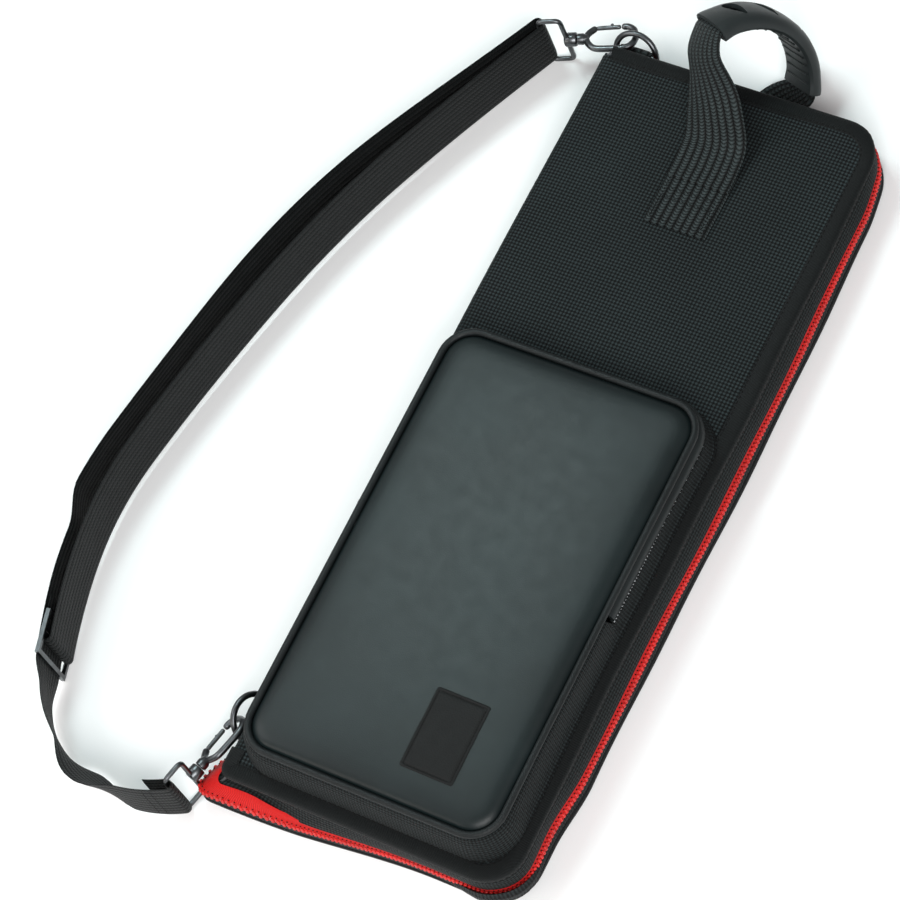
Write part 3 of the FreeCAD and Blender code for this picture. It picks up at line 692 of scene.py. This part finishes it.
def make_spine():
    y = TOP - 4
    ys = np.linspace(-y, y, 90)
    for name, node, x0, x1, finish, slot in (
        ("spine_fabric", "spine_outer_panel", -89.2, -88.1, NYLON, "body_nylon"),
        ("spine_padding", "spine_foam_strip", -88.0, -86.7, FOAM, "foam"),
        ("spine_lining_cloth", "spine_lining", -86.6, -86.0, LINING, "lining"),
    ):
        zs = np.linspace(4.9, 30.8, 9)
        ring = [(x0, z) for z in zs] + [(x1, z) for z in zs[::-1]]
        rows = []
        for yy in ys:
            sink = 5.0 * float(ease((-185 - yy) / 45))
            rows.append([(x + sink * sin(pi * (z - 4.9) / 26), yy, z) for x, z in ring])
        panel = Piece(name)
        vs = lengths([(x, z) for x, z in ring + ring[:1]])
        panel.grid(soften(rows), us=ys + 300, vs=vs, close_j=True, caps=True, flip=True)
        panel.put([finish], "bag_back", slot, node)


# --- front pocket
FOLD = -88.0
POCKET_MEDIAL = ((0, -147), (0, -39))
FACE = inset_outline(POCKET, 3.7)


def pocket_wall_top(y):
    """The wall stops under the zip above the fold, and runs up to the piping below it."""
    return 46.7 + 10.6 * float(ease((FOLD + 1.0 - y) / 2))


def make_pocket():
    def wall_shape(x, y):
        top = pocket_wall_top(y)
        sag = 0.7 * sin(x / 15) + 0.5 * sin(y / 11)
        low = ease((-190 - y) / 20)
        belly = 2.3 + sag * 0.5 + 1.6 * float(low)
        tall = top - 36
        outside = ((-5.2, 36.6), (-4.6, 37.7), (-belly - 1.2, 39.6), (-belly + 0.3 * sag, 36 + tall * 0.45))
        outside += ((-belly * 0.7, 36 + tall * 0.75), (-0.5, top - 0.6), (0.1, top))
        return outside + ((1.1, top - 0.4), (0.4, 42), (-3.6, 36.7))

    wall = Piece("pocket_wall_cloth")
    sweep(wall, POCKET_LINE, wall_shape)
    stitch_row(wall, POCKET_LINE, -4.9, 37.5, pitch=3.0, slot=1)
    wall.put([SHADED_WALL_NYLON, THREAD], "front_cover", "body_nylon", "pocket_gusset")

    above = lambda x, y: y > FOLD + 1.5 and not (x < -70 and y < -71)
    arc = [k for k in range(len(POCKET_LINE[0])) if POCKET_LINE[0][k][1] > FOLD + 0.8]
    turn = next(k for k in range(1, len(arc)) if arc[k] - arc[k - 1] > 1)
    arc = np.array(arc[turn:] + arc[:turn])
    for name, body, node, low in (
        ("pocket_teeth_lower", "front_cover", "pocket_zip_chain_lower", 47.0),
        ("pocket_teeth_upper", "pocket_flap", "pocket_zip_chain_upper", 48.75),
    ):
        teeth = Piece(name)
        steps = ((1.7, 0), (0.2, 0), (-0.1, 0.7), (0.2, 1.35), (1.7, 1.35))
        cord = [(d, low + up) for d, up in steps]
        run = np.array([k for k in arc if not (POCKET_LINE[0][k][0] < -70 and POCKET_LINE[0][k][1] < -71)])
        sweep(teeth, POCKET_LINE, cord, slot=1, span=run)
        tooth = (0.5, 0.62, 0.5)
        stitch_row(teeth, POCKET_LINE, -0.25, low + 0.7, pitch=1.9, size=tooth, span=arc, keep=above)
        teeth.put([SILVER_COIL, THREAD], body, "black_coil", node)

    rim = Piece("pocket_flap_rim")
    shape = ((0.3, 50.3), (-0.9, 50.5), (-1.9, 52.0), (-2.1, 54.0), (-1.6, 56.0))
    shape += ((-0.4, 57.6), (0.8, 57.9), (0.9, 55), (0.6, 51))
    sweep(rim, POCKET_LINE, shape, span=arc)
    stitch_row(rim, POCKET_LINE, -2.0, 51.9, pitch=2.6, size=(0.95, 0.25, 0.25), slot=1, span=arc)
    rim.put([FLANGE, THREAD], "pocket_flap", "leather", "pocket_flap_gusset")

    piping = Piece("pocket_piping")
    sweep(piping, POCKET_LINE, [(1.9 + 2.1 * c, 59.4 + 2.1 * s) for c, s in circle(10)])
    fold_pocket(piping.put([PIPING], None, "piping", "pocket_piping_lower", "pocket_flap_piping"))

    face = Piece("pocket_face")
    shares = (0, 0.006, 0.014, 0.024, 0.037, 0.055, 0.08, 0.12, 0.18, 0.27, 0.38, 0.5, 0.62, 0.74)
    shares += (0.85, 0.94, 1.0)
    under = lambda x, y, d: 57.4 + 0.9 * ease(d / 8)
    layer(face, FACE, POCKET_MEDIAL, face_height, under, shares, slots=(0, 1))
    fold_pocket(face.put([LEATHER, LINING], None, "leather", "pocket_face_lower", "pocket_flap_face"))
    make_patch()


def face_height(x, y, inset):
    """A padded leather panel: it rolls up out of the crease and swells towards its middle."""
    roll = 4.2 * (1 - np.exp(-np.maximum(inset, 0) / 2.4))
    width = np.clip(1 - (x / 77) ** 2, 0, 1)
    length = np.clip(1 - ((y + 93) / 131) ** 4, 0, 1)
    swell = 3.4 * np.sqrt(width) * np.sqrt(length)
    dent = 0.5 * np.sin(x / 37 + y / 61) * width * length
    return 57.4 + roll + swell + dent


def fold_pocket(piece):
    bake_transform(piece)


def make_patch():
    """A plain stitched patch, with no mark on it."""
    outline = (14.0, 46.0, -204.0, -157.0, 1.5, 1.5)
    lift = lambda x, y, up: face_height(x, y, edge_distance(x, y, *FACE)) + up
    groove = lambda d: 0.35 * ease(d / 0.6) - 0.4 * ease((d - 1.1) / 0.5) + 0.4 * ease((d - 2.0) / 0.5)
    top = lambda x, y, d: lift(x, y, 0.15) + groove(d)
    under = lambda x, y, d: lift(x, y, -0.3)
    thread = lambda x, y: float(lift(x, y, 0.25))
    shares = (0, 0.04, 0.07, 0.11, 0.16, 0.24, 0.4, 0.6, 0.8, 1.0)
    patch = Piece("pocket_patch")
    layer(patch, outline, ((30, -189), (30, -172)), top, under, shares)
    stitch_row(patch, rounded(*outline), 1.75, thread, pitch=2.0, size=(0.7, 0.16, 0.2), slot=1)
    patch.put([PATCH, THREAD], "front_cover", "patch", "pocket_plain_patch")


# --- webbing
def smooth_stations(stations, per):
    """Catmull-Rom through rows of numbers."""
    s = np.array(stations, float)
    s = np.concatenate([2 * s[:1] - s[1:2], s, 2 * s[-1:] - s[-2:-1]])
    rows = []
    for k in range(1, len(s) - 2):
        for t in np.linspace(0, 1, per, endpoint=False):
            a, b, c, d = s[k - 1:k + 3]
            bend, twist = 2 * a - 5 * b + 4 * c - d, 3 * b - a - 3 * c + d
            rows.append(0.5 * (2 * b + (c - a) * t + bend * t * t + twist * t**3))
    rows.append(s[-2])
    return np.array(rows)


def ribbon(piece, centres, across, widths, thick=1.5, cup=0.0, cols=11):
    """Flat webbing along centres; across is its width direction and cup bows its section."""
    centres = np.asarray(centres, float)
    widths = np.broadcast_to(np.asarray(widths, float), (len(centres),))
    cup = np.broadcast_to(np.asarray(cup, float), (len(centres),))
    ahead = unit(np.gradient(centres, axis=0))
    across = np.broadcast_to(np.asarray(across, float), centres.shape)
    across = unit(across - ahead * np.sum(across * ahead, axis=1, keepdims=True))
    normal = np.cross(ahead, across)
    at = np.linspace(-1, 1, cols)
    edge = np.sqrt(np.maximum(0, 1 - np.abs(at) ** 6)) * 0.75 + 0.25
    ring = [(at[k], side * edge[k] * thick / 2) for side in (1, -1) for k in range(cols)[::side]]
    rows = []
    for c, a, n, w, bow in zip(centres, across, normal, widths, cup):
        rows.append([c + a * (s * w / 2) + n * (h + bow * (s * s - 0.4)) for s, h in ring])
    vs = np.array([(s + 1) / 2 for s, _ in ring + ring[:1]]) * float(np.max(widths))
    piece.grid(rows, us=lengths(centres), vs=vs, close_j=True, caps=True)


# The grip's arch: its plane, the radius of the webbing inside it, and its two ends in degrees.
GRIP_CENTRE = np.array((-3.0, 234.0, 35.9))
GRIP_ACROSS = unit((0.5378, 0.2194, -0.8140))
GRIP_UP = unit((0.2235, 0.8939, 0.3886))
GRIP_NORMAL = unit(np.cross(GRIP_ACROSS, GRIP_UP))
GRIP_CORE = 43.7
GRIP_LEFT = -57.0
GRIP_RIGHT = 64.4


def grip_point(angle, radius, aside=0.0):
    a = radians(angle)
    out = GRIP_ACROSS * sin(a) + GRIP_UP * cos(a)
    return GRIP_CENTRE + out * radius + GRIP_NORMAL * aside


def webbing_leg(name, stations, thick, body, node):
    """Stations are rows of centre, width direction, width and cup."""
    s = smooth_stations(stations, 8)
    leg = Piece(name)
    ribbon(leg, s[:, :3], s[:, 3:6], s[:, 6], thick, s[:, 7])
    return leg.put([WEBBING], body, "webbing", node)


def box_stitch(patch, x0, x1, y0, y1, height, rise=0.22):
    line = rounded(x0, x1, y0, y1, 1, 1, 2.0)
    stitch_row(patch, line, 0, height, pitch=2.4, size=(0.85, rise, 0.3), slot=1, soft=False)


def make_handle_webbing():
    drop = soften(np.array([[2.0, 182.0, 36.9]]))[0][2] - 36.9
    patch = Piece("handle_patch")
    ys = np.linspace(141.5, 184, 24)
    rows = soften([(2, y, 37.3) for y in ys])
    rows[:, 2] += 0.6
    ribbon(patch, rows, (1, 0, 0), 38.5, 1.8)
    top = lambda x, y: soften(np.array([[x, y, 37.3]]))[0][2] + 1.55
    for inset in (2.2, 4.2):
        box_stitch(patch, -17 + inset, 21 - inset, 142 + inset, 152 + inset * 3, top)
    box_stitch(patch, -14.5, 18.5, 144.5, 180.5, top)
    patch.put([WEBBING, THREAD], "front_cover", "webbing", "handle_patch_front")

    leg = [
        (2, 172, 39.6 + drop, 1, 0, 0, 38, 0),
        (2, 184, 39.9 + drop, 1, 0, 0, 38, 0),
        (1, 198, 43 + drop, 1, 0.0, 0.03, 38, 1.2),
        (-4, 211, 50.5, 0.99, -0.08, 0.1, 36, 2.8),
        (-11, 222.5, 59.5, 0.95, -0.18, 0.22, 32, 3.6),
        (-17.5, 233, 69.5, 0.88, -0.3, 0.34, 28.5, 2.6),
        (*grip_point(GRIP_LEFT - 3, GRIP_CORE), *GRIP_NORMAL, 26.5, 1.2),
        (*grip_point(GRIP_LEFT + 5, GRIP_CORE), *GRIP_NORMAL, 24.6, 0.3),
    ]
    piece = webbing_leg("handle_webbing_leg", leg, 1.7, None, "handle_webbing_front")
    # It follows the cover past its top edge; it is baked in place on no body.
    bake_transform(piece)

    core = Piece("handle_webbing_inside")
    angles = np.linspace(GRIP_LEFT + 2, GRIP_RIGHT - 2, 50)
    ribbon(core, [grip_point(a, GRIP_CORE) for a in angles], GRIP_NORMAL, 24.2, 1.4)
    core.put([WEBBING], "bag_back", "webbing", "handle_webbing_core")

    patch = Piece("handle_patch_rear")
    ribbon(patch, [(2, y, 0.95) for y in np.linspace(141.5, 183, 20)], (1, 0, 0), 38, 1.5)
    box_stitch(patch, -14.5, 18.5, 144.5, 180.5, 0.2, rise=0.2)
    patch.put([WEBBING, THREAD], "bag_back", "webbing", "handle_patch_back")

    leg = [
        (2, 172, 1.9, 1, 0, 0, 37, 0),
        (2.2, 186, 1.3, 1, 0, 0, 37, 0),
        (2.6, 200, 1.1, 1, 0, 0, 37, 0),
        (3.4, 214, 1.1, 1, 0, 0, 36, 0),
        (4.6, 227, 1.1, 1, 0, 0, 34, 0),
        (6.2, 237, 1.2, 1, 0, 0, 32, 0),
        (9.8, 245, 2.2, 1, -0.03, 0.04, 29.5, 0.2),
        (16, 252, 5.6, 0.93, -0.15, 0.2, 27, 0.6),
        (*grip_point(GRIP_RIGHT + 4, GRIP_CORE), *GRIP_NORMAL, 25, 0.8),
        (*grip_point(GRIP_RIGHT - 4, GRIP_CORE), *GRIP_NORMAL, 24.2, 0.3),
    ]
    webbing_leg("handle_webbing_rear_leg", leg, 1.5, "bag_back", "handle_webbing_back")


def grip_tube(piece, outer, inner):
    """A thick walled tube along the arch: out along one profile, back along the other."""
    angles = np.linspace(GRIP_LEFT, GRIP_RIGHT, 60)
    rows = []
    for profile, order in ((outer, 1), (inner, -1)):
        for a in angles[::order]:
            flare = 1 + 0.07 * float(ease(1 - min(a - GRIP_LEFT, GRIP_RIGHT - a) / 12))
            rows.append([grip_point(a, GRIP_CORE + r * flare, w * flare) for w, r in profile])
    piece.grid(rows, close_i=True, close_j=True)


def both_sides(half):
    """A closed section from its right half, which runs from the top's middle to the bottom's."""
    left = [(-w, r) for w, r in half[-2:0:-1]]
    return left[2:] + half + left[:2]


def make_grip():
    outer = [(0, 5.2), (8, 4.8), (12, 3.6), (14.4, 1.6), (15.2, -0.7), (15, -2.8), (13.6, -4.2), (9, -4.6)]
    inner = [(0, 2.5), (7.5, 2.3), (11, 1.8), (12.6, 1.2), (12.9, 0.2), (12.9, -0.8), (12.6, -1.3), (9, -1.5)]
    grip = Piece("grip_moulding")
    grip_tube(grip, both_sides(outer + [(0, -4.8)]), both_sides(inner + [(0, -1.6)]))
    piece = grip.done([RUBBER], sharp=70)
    for k, angle in enumerate((-36, -12, 12, 36)):
        cutter = Piece(f"cutter_{k}")
        outline = []
        for t in np.linspace(0, 2 * pi, 28, endpoint=False):
            w = -9.5 * cos(t)
            half = 3.7 * sin(t) * (1 - 0.55 * cos(t - pi))
            outline.append((angle + half / 50 * 57.3 + w * 0.28, w))
        rows = [[grip_point(a, GRIP_CORE + r, w) for a, w in outline] for r in (1.0, 10)]
        cutter.grid(rows, close_j=True, caps=True)
        tool = cutter.done([])
        cut = piece.modifiers.new(tool.name, "BOOLEAN")
        cut.operation = "DIFFERENCE"
        cut.solver = "EXACT"
        cut.object = tool
        tool.hide_render = True
    apply_modifiers(piece)
    for k in range(4):
        bpy.data.objects.remove(bpy.data.objects[f"cutter_{k}"])
    piece.data.polygons.foreach_set("use_smooth", [True] * len(piece.data.polygons))
    piece.data.set_sharp_from_angle(angle=radians(38))
    place(piece, "bag_back", "grip_rubber", "handle_grip")

    ribs = Piece("grip_inner_ribs")
    for angle in np.linspace(-49, 56, 14):
        w = np.linspace(-10.5, 10.5, 13)
        places = [grip_point(angle, GRIP_CORE - 4.7, s) for s in w]
        ribs.beads(places, [GRIP_NORMAL] * 13, [GRIP_UP] * 13, (1.6, 0.7, 0.7), sides=8, rings=6)
    ribs.put([RUBBER], "bag_back", "grip_rubber")


def apply_modifiers(piece):
    bpy.context.view_layer.update()
    seen = piece.evaluated_get(bpy.context.evaluated_depsgraph_get())
    mesh = bpy.data.meshes.new_from_object(seen)
    piece.modifiers.clear()
    piece.data = mesh


# --- shoulder strap
# The strap's route in metres, close to the part's own.
STRAP_ROUTE = [(x, y, 0.0222) for x, y in (
    (-0.1290, 0.2331), (-0.1640, 0.1680), (-0.2010, 0.0780), (-0.2260, -0.0380), (-0.2390, -0.1280),
    (-0.2130, -0.2280), (-0.1800, -0.2590), (-0.1350, -0.2680), (-0.1111, -0.2556),
)]
ADJUSTER = np.array((-219.25, -204.85, 22.2))
INNER, OUTER, TAIL = 2.6, -4.0, 2.9
STRAP_MID = 22.2


def strap_line():
    curve = bpy.data.curves.new("strap_route", "CURVE")
    curve.dimensions = "3D"
    spline = curve.splines.new("NURBS")
    spline.points.add(len(STRAP_ROUTE) - 1)
    for point, place_at in zip(spline.points, STRAP_ROUTE):
        point.co = (*place_at, 1)
    spline.order_u = 3
    spline.use_endpoint_u = True
    curve.resolution_u = 20
    holder = bpy.data.objects.new("strap_route", curve)
    mesh = bpy.data.meshes.new_from_object(holder)
    points = np.array([v.co for v in mesh.vertices])
    bpy.data.objects.remove(holder)
    bpy.data.meshes.remove(mesh)
    return points


def half_turn(centre, start, bulge, radius):
    """Points round a bar, from centre + start * radius through bulge to the other side."""
    return [
        centre + radius * (start * cos(a) + bulge * sin(a))
        for a in np.linspace(0, pi, 9)[1:-1]
    ]


def make_strap():
    path = strap_line()
    line = path / MM
    ahead = unit(np.gradient(line, axis=0))
    side = np.column_stack([-ahead[:, 1], ahead[:, 0], 0 * ahead[:, 0]])
    share = lengths(line) / lengths(line)[-1]
    met = int(np.argmin(np.linalg.norm(line - ADJUSTER, axis=1)))
    part = np.clip(share / share[met], 0, 1)
    gap = ease(part / 0.55) * ease((0.86 - part) / 0.06)
    outer = OUTER - 9.0 * gap - 1.0 * ease(part / 0.3) * ease((1 - part) / 0.1)
    inner = INNER + 1.2 * np.sin(2 * pi * part) * ease((1 - part) / 0.2)

    stub = [p + s * -2.3 for p, s in zip(line[met - 6:met], side[met - 6:met])]
    centres = stub + half_turn(line[met], -side[met], ahead[met], 2.5)
    centres += [line[k] + side[k] * inner[k] for k in range(met, -1, -1)]
    centres += half_turn(line[0] + side[0] * -0.7, side[0], -ahead[0], 3.3)
    first = len(centres)
    centres += [line[k] + side[k] * outer[k] for k in range(len(line))]
    last = line[-1] + side[-1] * (OUTER + TAIL)
    centres += half_turn(last, -side[-1], ahead[-1], TAIL)
    centres += [line[k] + side[k] * (OUTER + 2 * TAIL) for k in range(len(line) - 1, len(line) - 8, -1)]
    lean = [0.0] * len(centres)
    for k, t in enumerate(share):
        twist = -22 * float(ease((t - 0.87) / 0.04) * ease((0.955 - t) / 0.04))
        twist += 9 * float(ease((t - 0.79) / 0.03) * ease((0.9 - t) / 0.04))
        slack = 5 * sin(2.2 * pi * float(part[k])) * float(gap[k])
        lean[first + k] = radians(twist - slack)
    direction = unit(np.gradient(np.array(centres), axis=0))
    flat = np.column_stack([-direction[:, 1], direction[:, 0], 0 * direction[:, 0]])
    lean = np.array(lean)[:, None]
    across = np.cos(lean) * np.array((0, 0, 1.0)) + np.sin(lean) * flat
    band = Piece("strap_band")
    ribbon(band, centres, across, 37.6, 1.35, cols=9)
    for end in (0, len(line) - 1):
        back = 1 if end == 0 else -1
        for along in (8, 12):
            k = end
            while abs(lengths(line)[k] - lengths(line)[end]) < along:
                k += back
            outside = line[k] + side[k] * (OUTER - 0.75)
            spots = [outside + np.array((0, 0, h)) for h in np.arange(-16, 16.5, 2.4)]
            count = len(spots)
            band.beads(spots, [(0, 0, 1)] * count, [side[k]] * count, (0.9, 0.2, 0.3), slot=1)
    piece = band.put([STRAP, THREAD], "bag_back", "webbing", "strap_webbing")


def make_ring_tabs():
    """Webbing folded round each D-ring's bar and sewn into the bag's edge."""
    for name, bar, along, foot in (
        ("bottom", (-95.5, -199, 15), (0, 1, 0), (-89.5, -199, 6)),
        ("top", (-77, 245.5, 16), (1, 0, 0), (-77, 239.5, 6)),
    ):
        bar, along, foot = np.array(bar, float), np.array(along, float), np.array(foot, float)
        down = unit(foot - bar)
        side = np.cross(along, down)
        centres = [foot + side * 1.0, (foot + bar) / 2 + side * 1.6 + down, bar + side * 2.8]
        centres += half_turn(bar, side, -down, 2.85)
        centres += [bar - side * 2.8, (foot + bar) / 2 - side * 1.6 + down, foot - side * 1.0]
        rows = smooth_stations(centres, 3)
        tab = Piece("ring_tab_" + name)
        ribbon(tab, rows, along, 20, 1.3, cols=7)
        tab.put([WEBBING], "bag_back", "webbing", "d_ring_tab_" + name)


# --- hardware
def tube(piece, points, radius, close=False):
    """A round wire along points, with rounded ends unless it is closed."""
    points = np.asarray(points, float)
    if close:
        ahead = unit(np.roll(points, -1, 0) - np.roll(points, 1, 0))
    else:
        ahead = unit(np.gradient(points, axis=0))
    first = np.cross(ahead[0], (0.31, 0.22, 0.92))
    radii = np.full(len(points), float(radius))
    if not close:
        points = np.concatenate([points[:1] - ahead[:1] * radius * k for k in (0.8, 0.5)] + [points])
        points = np.concatenate([points] + [points[-1:] + ahead[-1:] * radius * k for k in (0.5, 0.8)])
        ahead = np.concatenate([ahead[:1], ahead[:1], ahead, ahead[-1:], ahead[-1:]])
        radii = np.concatenate([[0.5 * radius, 0.85 * radius], radii, [0.85 * radius, 0.5 * radius]])
    rows = []
    for p, d, r in zip(points, ahead, radii):
        first = unit(first - d * (first @ d))
        other = np.cross(d, first)
        rows.append([p + r * (first * c + other * s) for c, s in circle(12)])
    piece.grid(rows, close_i=close, close_j=True, caps=not close)


def turned(piece, origin, axis, profile, sides=20):
    """A lathe-turned part: profile is (place along the axis, radius)."""
    axis = unit(axis)
    first = unit(np.cross(axis, (0.1, 0.2, 0.97)))
    other = np.cross(axis, first)
    rim = [first * c + other * s for c, s in circle(sides)]
    rows = [[origin + axis * s + r * out for out in rim] for s, r in profile]
    piece.grid(rows, close_j=True, caps=True)


def round_corners(corners, radius):
    """A closed loop of corner points with each corner rounded."""
    points = []
    for k, corner in enumerate(corners):
        before, after = unit(corners[k - 1] - corner), unit(corners[(k + 1) % len(corners)] - corner)
        a, b = corner + before * radius, corner + after * radius
        for t in np.linspace(0, 1, 5):
            points.append((1 - t) ** 2 * a + 2 * t * (1 - t) * corner + t * t * b)
    return points


def make_hook(end, ring, along, outward, angle, heading, reach):
    """A swivel snap hook caught on a D-ring: the strap's square eye, the barrel, the hook and its gate."""
    a = radians(angle)
    ring, along, outward = np.array(ring, float), np.array(along, float), np.array(outward, float)
    caught = ring + 13 * (outward * cos(a) + along * sin(a))
    tangent = along * cos(a) - outward * sin(a)
    axis = unit(heading)
    bar = caught - axis * reach
    bar[2] = STRAP_MID
    across = unit(np.cross(tangent, axis))
    half = np.array((0, 0, 20.7))

    eye = Piece("strap_eye_" + end)
    corners = [bar - half, bar + half, bar + half + axis * 13, bar - half + axis * 13]
    tube(eye, round_corners(corners, 3.2), 1.45, close=True)
    turned(eye, bar, axis, ((11.6, 2.9), (12, 3.7), (12.6, 4.15), (18.2, 4.15), (18.8, 3.8), (19.0, 3.1)))
    eye.put([GUNMETAL], "bag_back", "gunmetal", "hook_eye_" + end, sharp=40)

    body = Piece("snap_hook_" + end)
    loop = [(24, 0), (26.4, -4.4), (30.5, -7.6), (39, -8.2), (47.5, -7.9), (51.8, -5.2), (53.4, 0)]
    loop += [(51.8, 5.2), (48.6, 7.7), (46, 8.0)]
    shoulder = ((23.6, 0.4), (25.6, 4.2), (28.4, 6.9))
    for wire in (loop, shoulder):
        tube(body, smooth_stations([bar + axis * f + across * g for f, g in wire], 6), 1.95)
    turned(body, bar, axis, ((19.4, 2.6), (19.7, 3.3), (22.6, 3.4), (23.4, 3.0), (25.6, 2.2)))
    turned(body, bar, axis, ((15.9, 1.6), (16.1, 2.1), (17.5, 2.1), (17.7, 1.6)))
    body.put([GUNMETAL], "hook_" + end, "gunmetal", "hook_body_" + end, sharp=40)

    gate = Piece("snap_gate_" + end)
    line = [bar + axis * f + across * g for f, g in ((30.6, 7.4), (34, 7.65), (38, 7.75), (42.8, 7.9))]
    tube(gate, smooth_stations(line, 4), 1.3)
    turned(gate, bar + axis * 38.5 + across * 7.8, across, ((0.6, 0.9), (1.6, 1.0), (2.4, 0.8)), sides=12)
    gate.put([GUNMETAL], "gate_" + end, "gunmetal", "hook_gate_" + end, sharp=40)


def refinish(node, finish, bevel=0.0):
    """Keeps a CAD node's shape, with a finer finish and softened edges."""
    piece = frame["nodes"][node]
    piece.data.materials.clear()
    piece.data.materials.append(finish)
    if bevel:
        soft = piece.modifiers.new("soft_edges", "BEVEL")
        soft.width = bevel * MM
        soft.segments = 2
        soft.limit_method = "ANGLE"
        soft.angle_limit = radians(40)
        soft.harden_normals = True


def make_hardware():
    make_hook("bottom", (-95.5, -199, 15), (0, 1, 0), (-0.5, 0, 0.866), -55, (0.25, 0.968, 0), 47.5)
    make_hook("top", (-77, 245.5, 16), (1, 0, 0), (0, 0.5, 0.866), -50, (0.93, 0.367, 0), 45.2)
    for end in ("bottom", "top"):
        refinish("d_ring_" + end, GUNMETAL)
    refinish("strap_adjuster", GUNMETAL, 0.5)
    for end in ("right", "left"):
        refinish("main_slider_" + end, BLACK_METAL, 0.3)
        refinish("main_pull_" + end, BLACK_METAL, 0.25)
    refinish("pocket_slider", SILVER, 0.25)
    refinish("pocket_pull_ring", SILVER)
    make_pull_cord()


def lobed_ring(centre, radius, turn, lobes, phase, depth, count):
    """A ring across y whose radius swells and shrinks, as plaited cord does."""
    ring = []
    for a in np.linspace(0, 2 * pi, count, endpoint=False):
        out = np.array((cos(a + turn), 0, sin(a + turn)))
        ring.append(centre + radius * out * (1 + depth * cos(lobes * a + phase)))
    return ring


def make_pull_cord():
    cord = Piece("pocket_pull_braid")
    x, y, z = -81.7, -81.7, 48.55
    ends = [(x, y, z), (x - 0.2, y - 8, z - 0.1), (x - 0.5, y - 17, z - 0.4), (x - 0.6, y - 22, z - 1)]
    route = smooth_stations(ends, 14)
    rows = []
    for k, p in enumerate(route):
        turn = k * 0.55
        rows.append(lobed_ring(p, 0.72 + 0.1 * sin(2 * turn), turn, 3, 0, 0.14, 12))
    cord.grid(rows, close_j=True, caps=True)
    knot = []
    for t in np.linspace(0, pi, 9):
        at = route[-1] + np.array((0, 1.9 * cos(t) - 1.0, 0))
        knot.append(lobed_ring(at, 1.75 * sin(t) + 0.05, 0, 4, 3 * t, 0.1, 14))
    cord.grid(knot, close_j=True)
    cord.put([THREAD], "small_zip_pull", "binding", "pocket_pull_cord")


# --- inside the bag
def seams(piece, xs, ys, z, slot):
    """Straight rows of stitches along y."""
    for x in xs:
        spots = [(x, y, z) for y in ys]
        piece.beads(spots, [(0, 1, 0)] * len(spots), [(0, 0, 1)] * len(spots), (1.1, 0.3, 0.3), slot=slot)


def make_sleeves():
    """Four stick sleeves: one cloth gathered into tubes, sewn down between them."""
    sleeves = Piece("sleeve_cloth")
    across = []
    for k in range(4):
        t = np.linspace(0, 1, 17)
        rise = np.clip(np.sin(pi * t), 0, 1) ** 0.35
        across += list(zip(40 * k - 77.5 + 37 * t, rise))
    for up, flip in ((0.0, False), (0.7, True)):
        rows = []
        for y in np.linspace(-228, 150, 60):
            full = 14.6 * float(ease((y + 229) / 16)) + 0.5 * sin(y / 21)
            rows.append([(x, y, 5.2 + up + r * max(full, 0.2)) for x, r in across])
        sleeves.grid(rows, plan=True, flip=flip)
    hem = []
    for y, lift in ((144, 0.1), (144.2, 0.6), (150.5, 0.6), (150.6, -0.3)):
        hem.append([(x, y, 6.0 + r * 14.7 + lift) for x, r in across])
    sleeves.grid(hem, slot=1, plan=True, flip=True)
    seams(sleeves, [40 * k - 79 for k in range(5)], np.arange(-224, 148, 3.2), 5.6, 2)
    sleeves.put([LINING, BINDING, THREAD], "bag_back", "lining", "stick_sleeves")


def pocket_sag(x):
    """How far the flat inner pocket hangs off the lining, in its two halves."""
    return 3.6 * abs(sin(pi * (x - 1) / 79)) ** 0.4


def make_inner_pocket():
    cloth = Piece("inner_pocket_cloth")
    xs = np.concatenate([np.linspace(-78, 0.6, 22), np.linspace(1.4, 80, 22)])
    for drop, flip in ((0.0, True), (0.6, False)):
        rows = []
        for y in np.linspace(-228, 61, 50):
            low = float(ease((y + 229) / 10))
            rows.append([(x, y, 30.6 - drop - low * pocket_sag(x)) for x in xs])
        cloth.grid(rows, plan=True, flip=flip)
    seams(cloth, (-77, 1, 79), np.arange(-224, 58, 3.2), 29.9, 1)
    cloth.put([LINING, THREAD], "front_cover", "lining", "front_inner_pocket")
    hem = Piece("inner_pocket_edge")
    rows = []
    for y, drop in ((59.5, 0.2), (59.6, 1.0), (62.4, 1.0), (62.6, 0.4), (62.4, -0.3), (60.0, -0.3)):
        rows.append([(x, y, 30.3 - drop - pocket_sag(x)) for x in xs])
    hem.grid(rows, close_i=True)
    hem.put([BINDING], "front_cover", "binding", "inner_pocket_hem")


make_camera()
make_stage()
make_covers()
make_bindings()
make_zip_side()
make_chains()
make_spine()
make_pocket()
make_handle_webbing()
make_grip()
make_strap()
make_ring_tabs()
make_hardware()
make_sleeves()
make_inner_pocket()
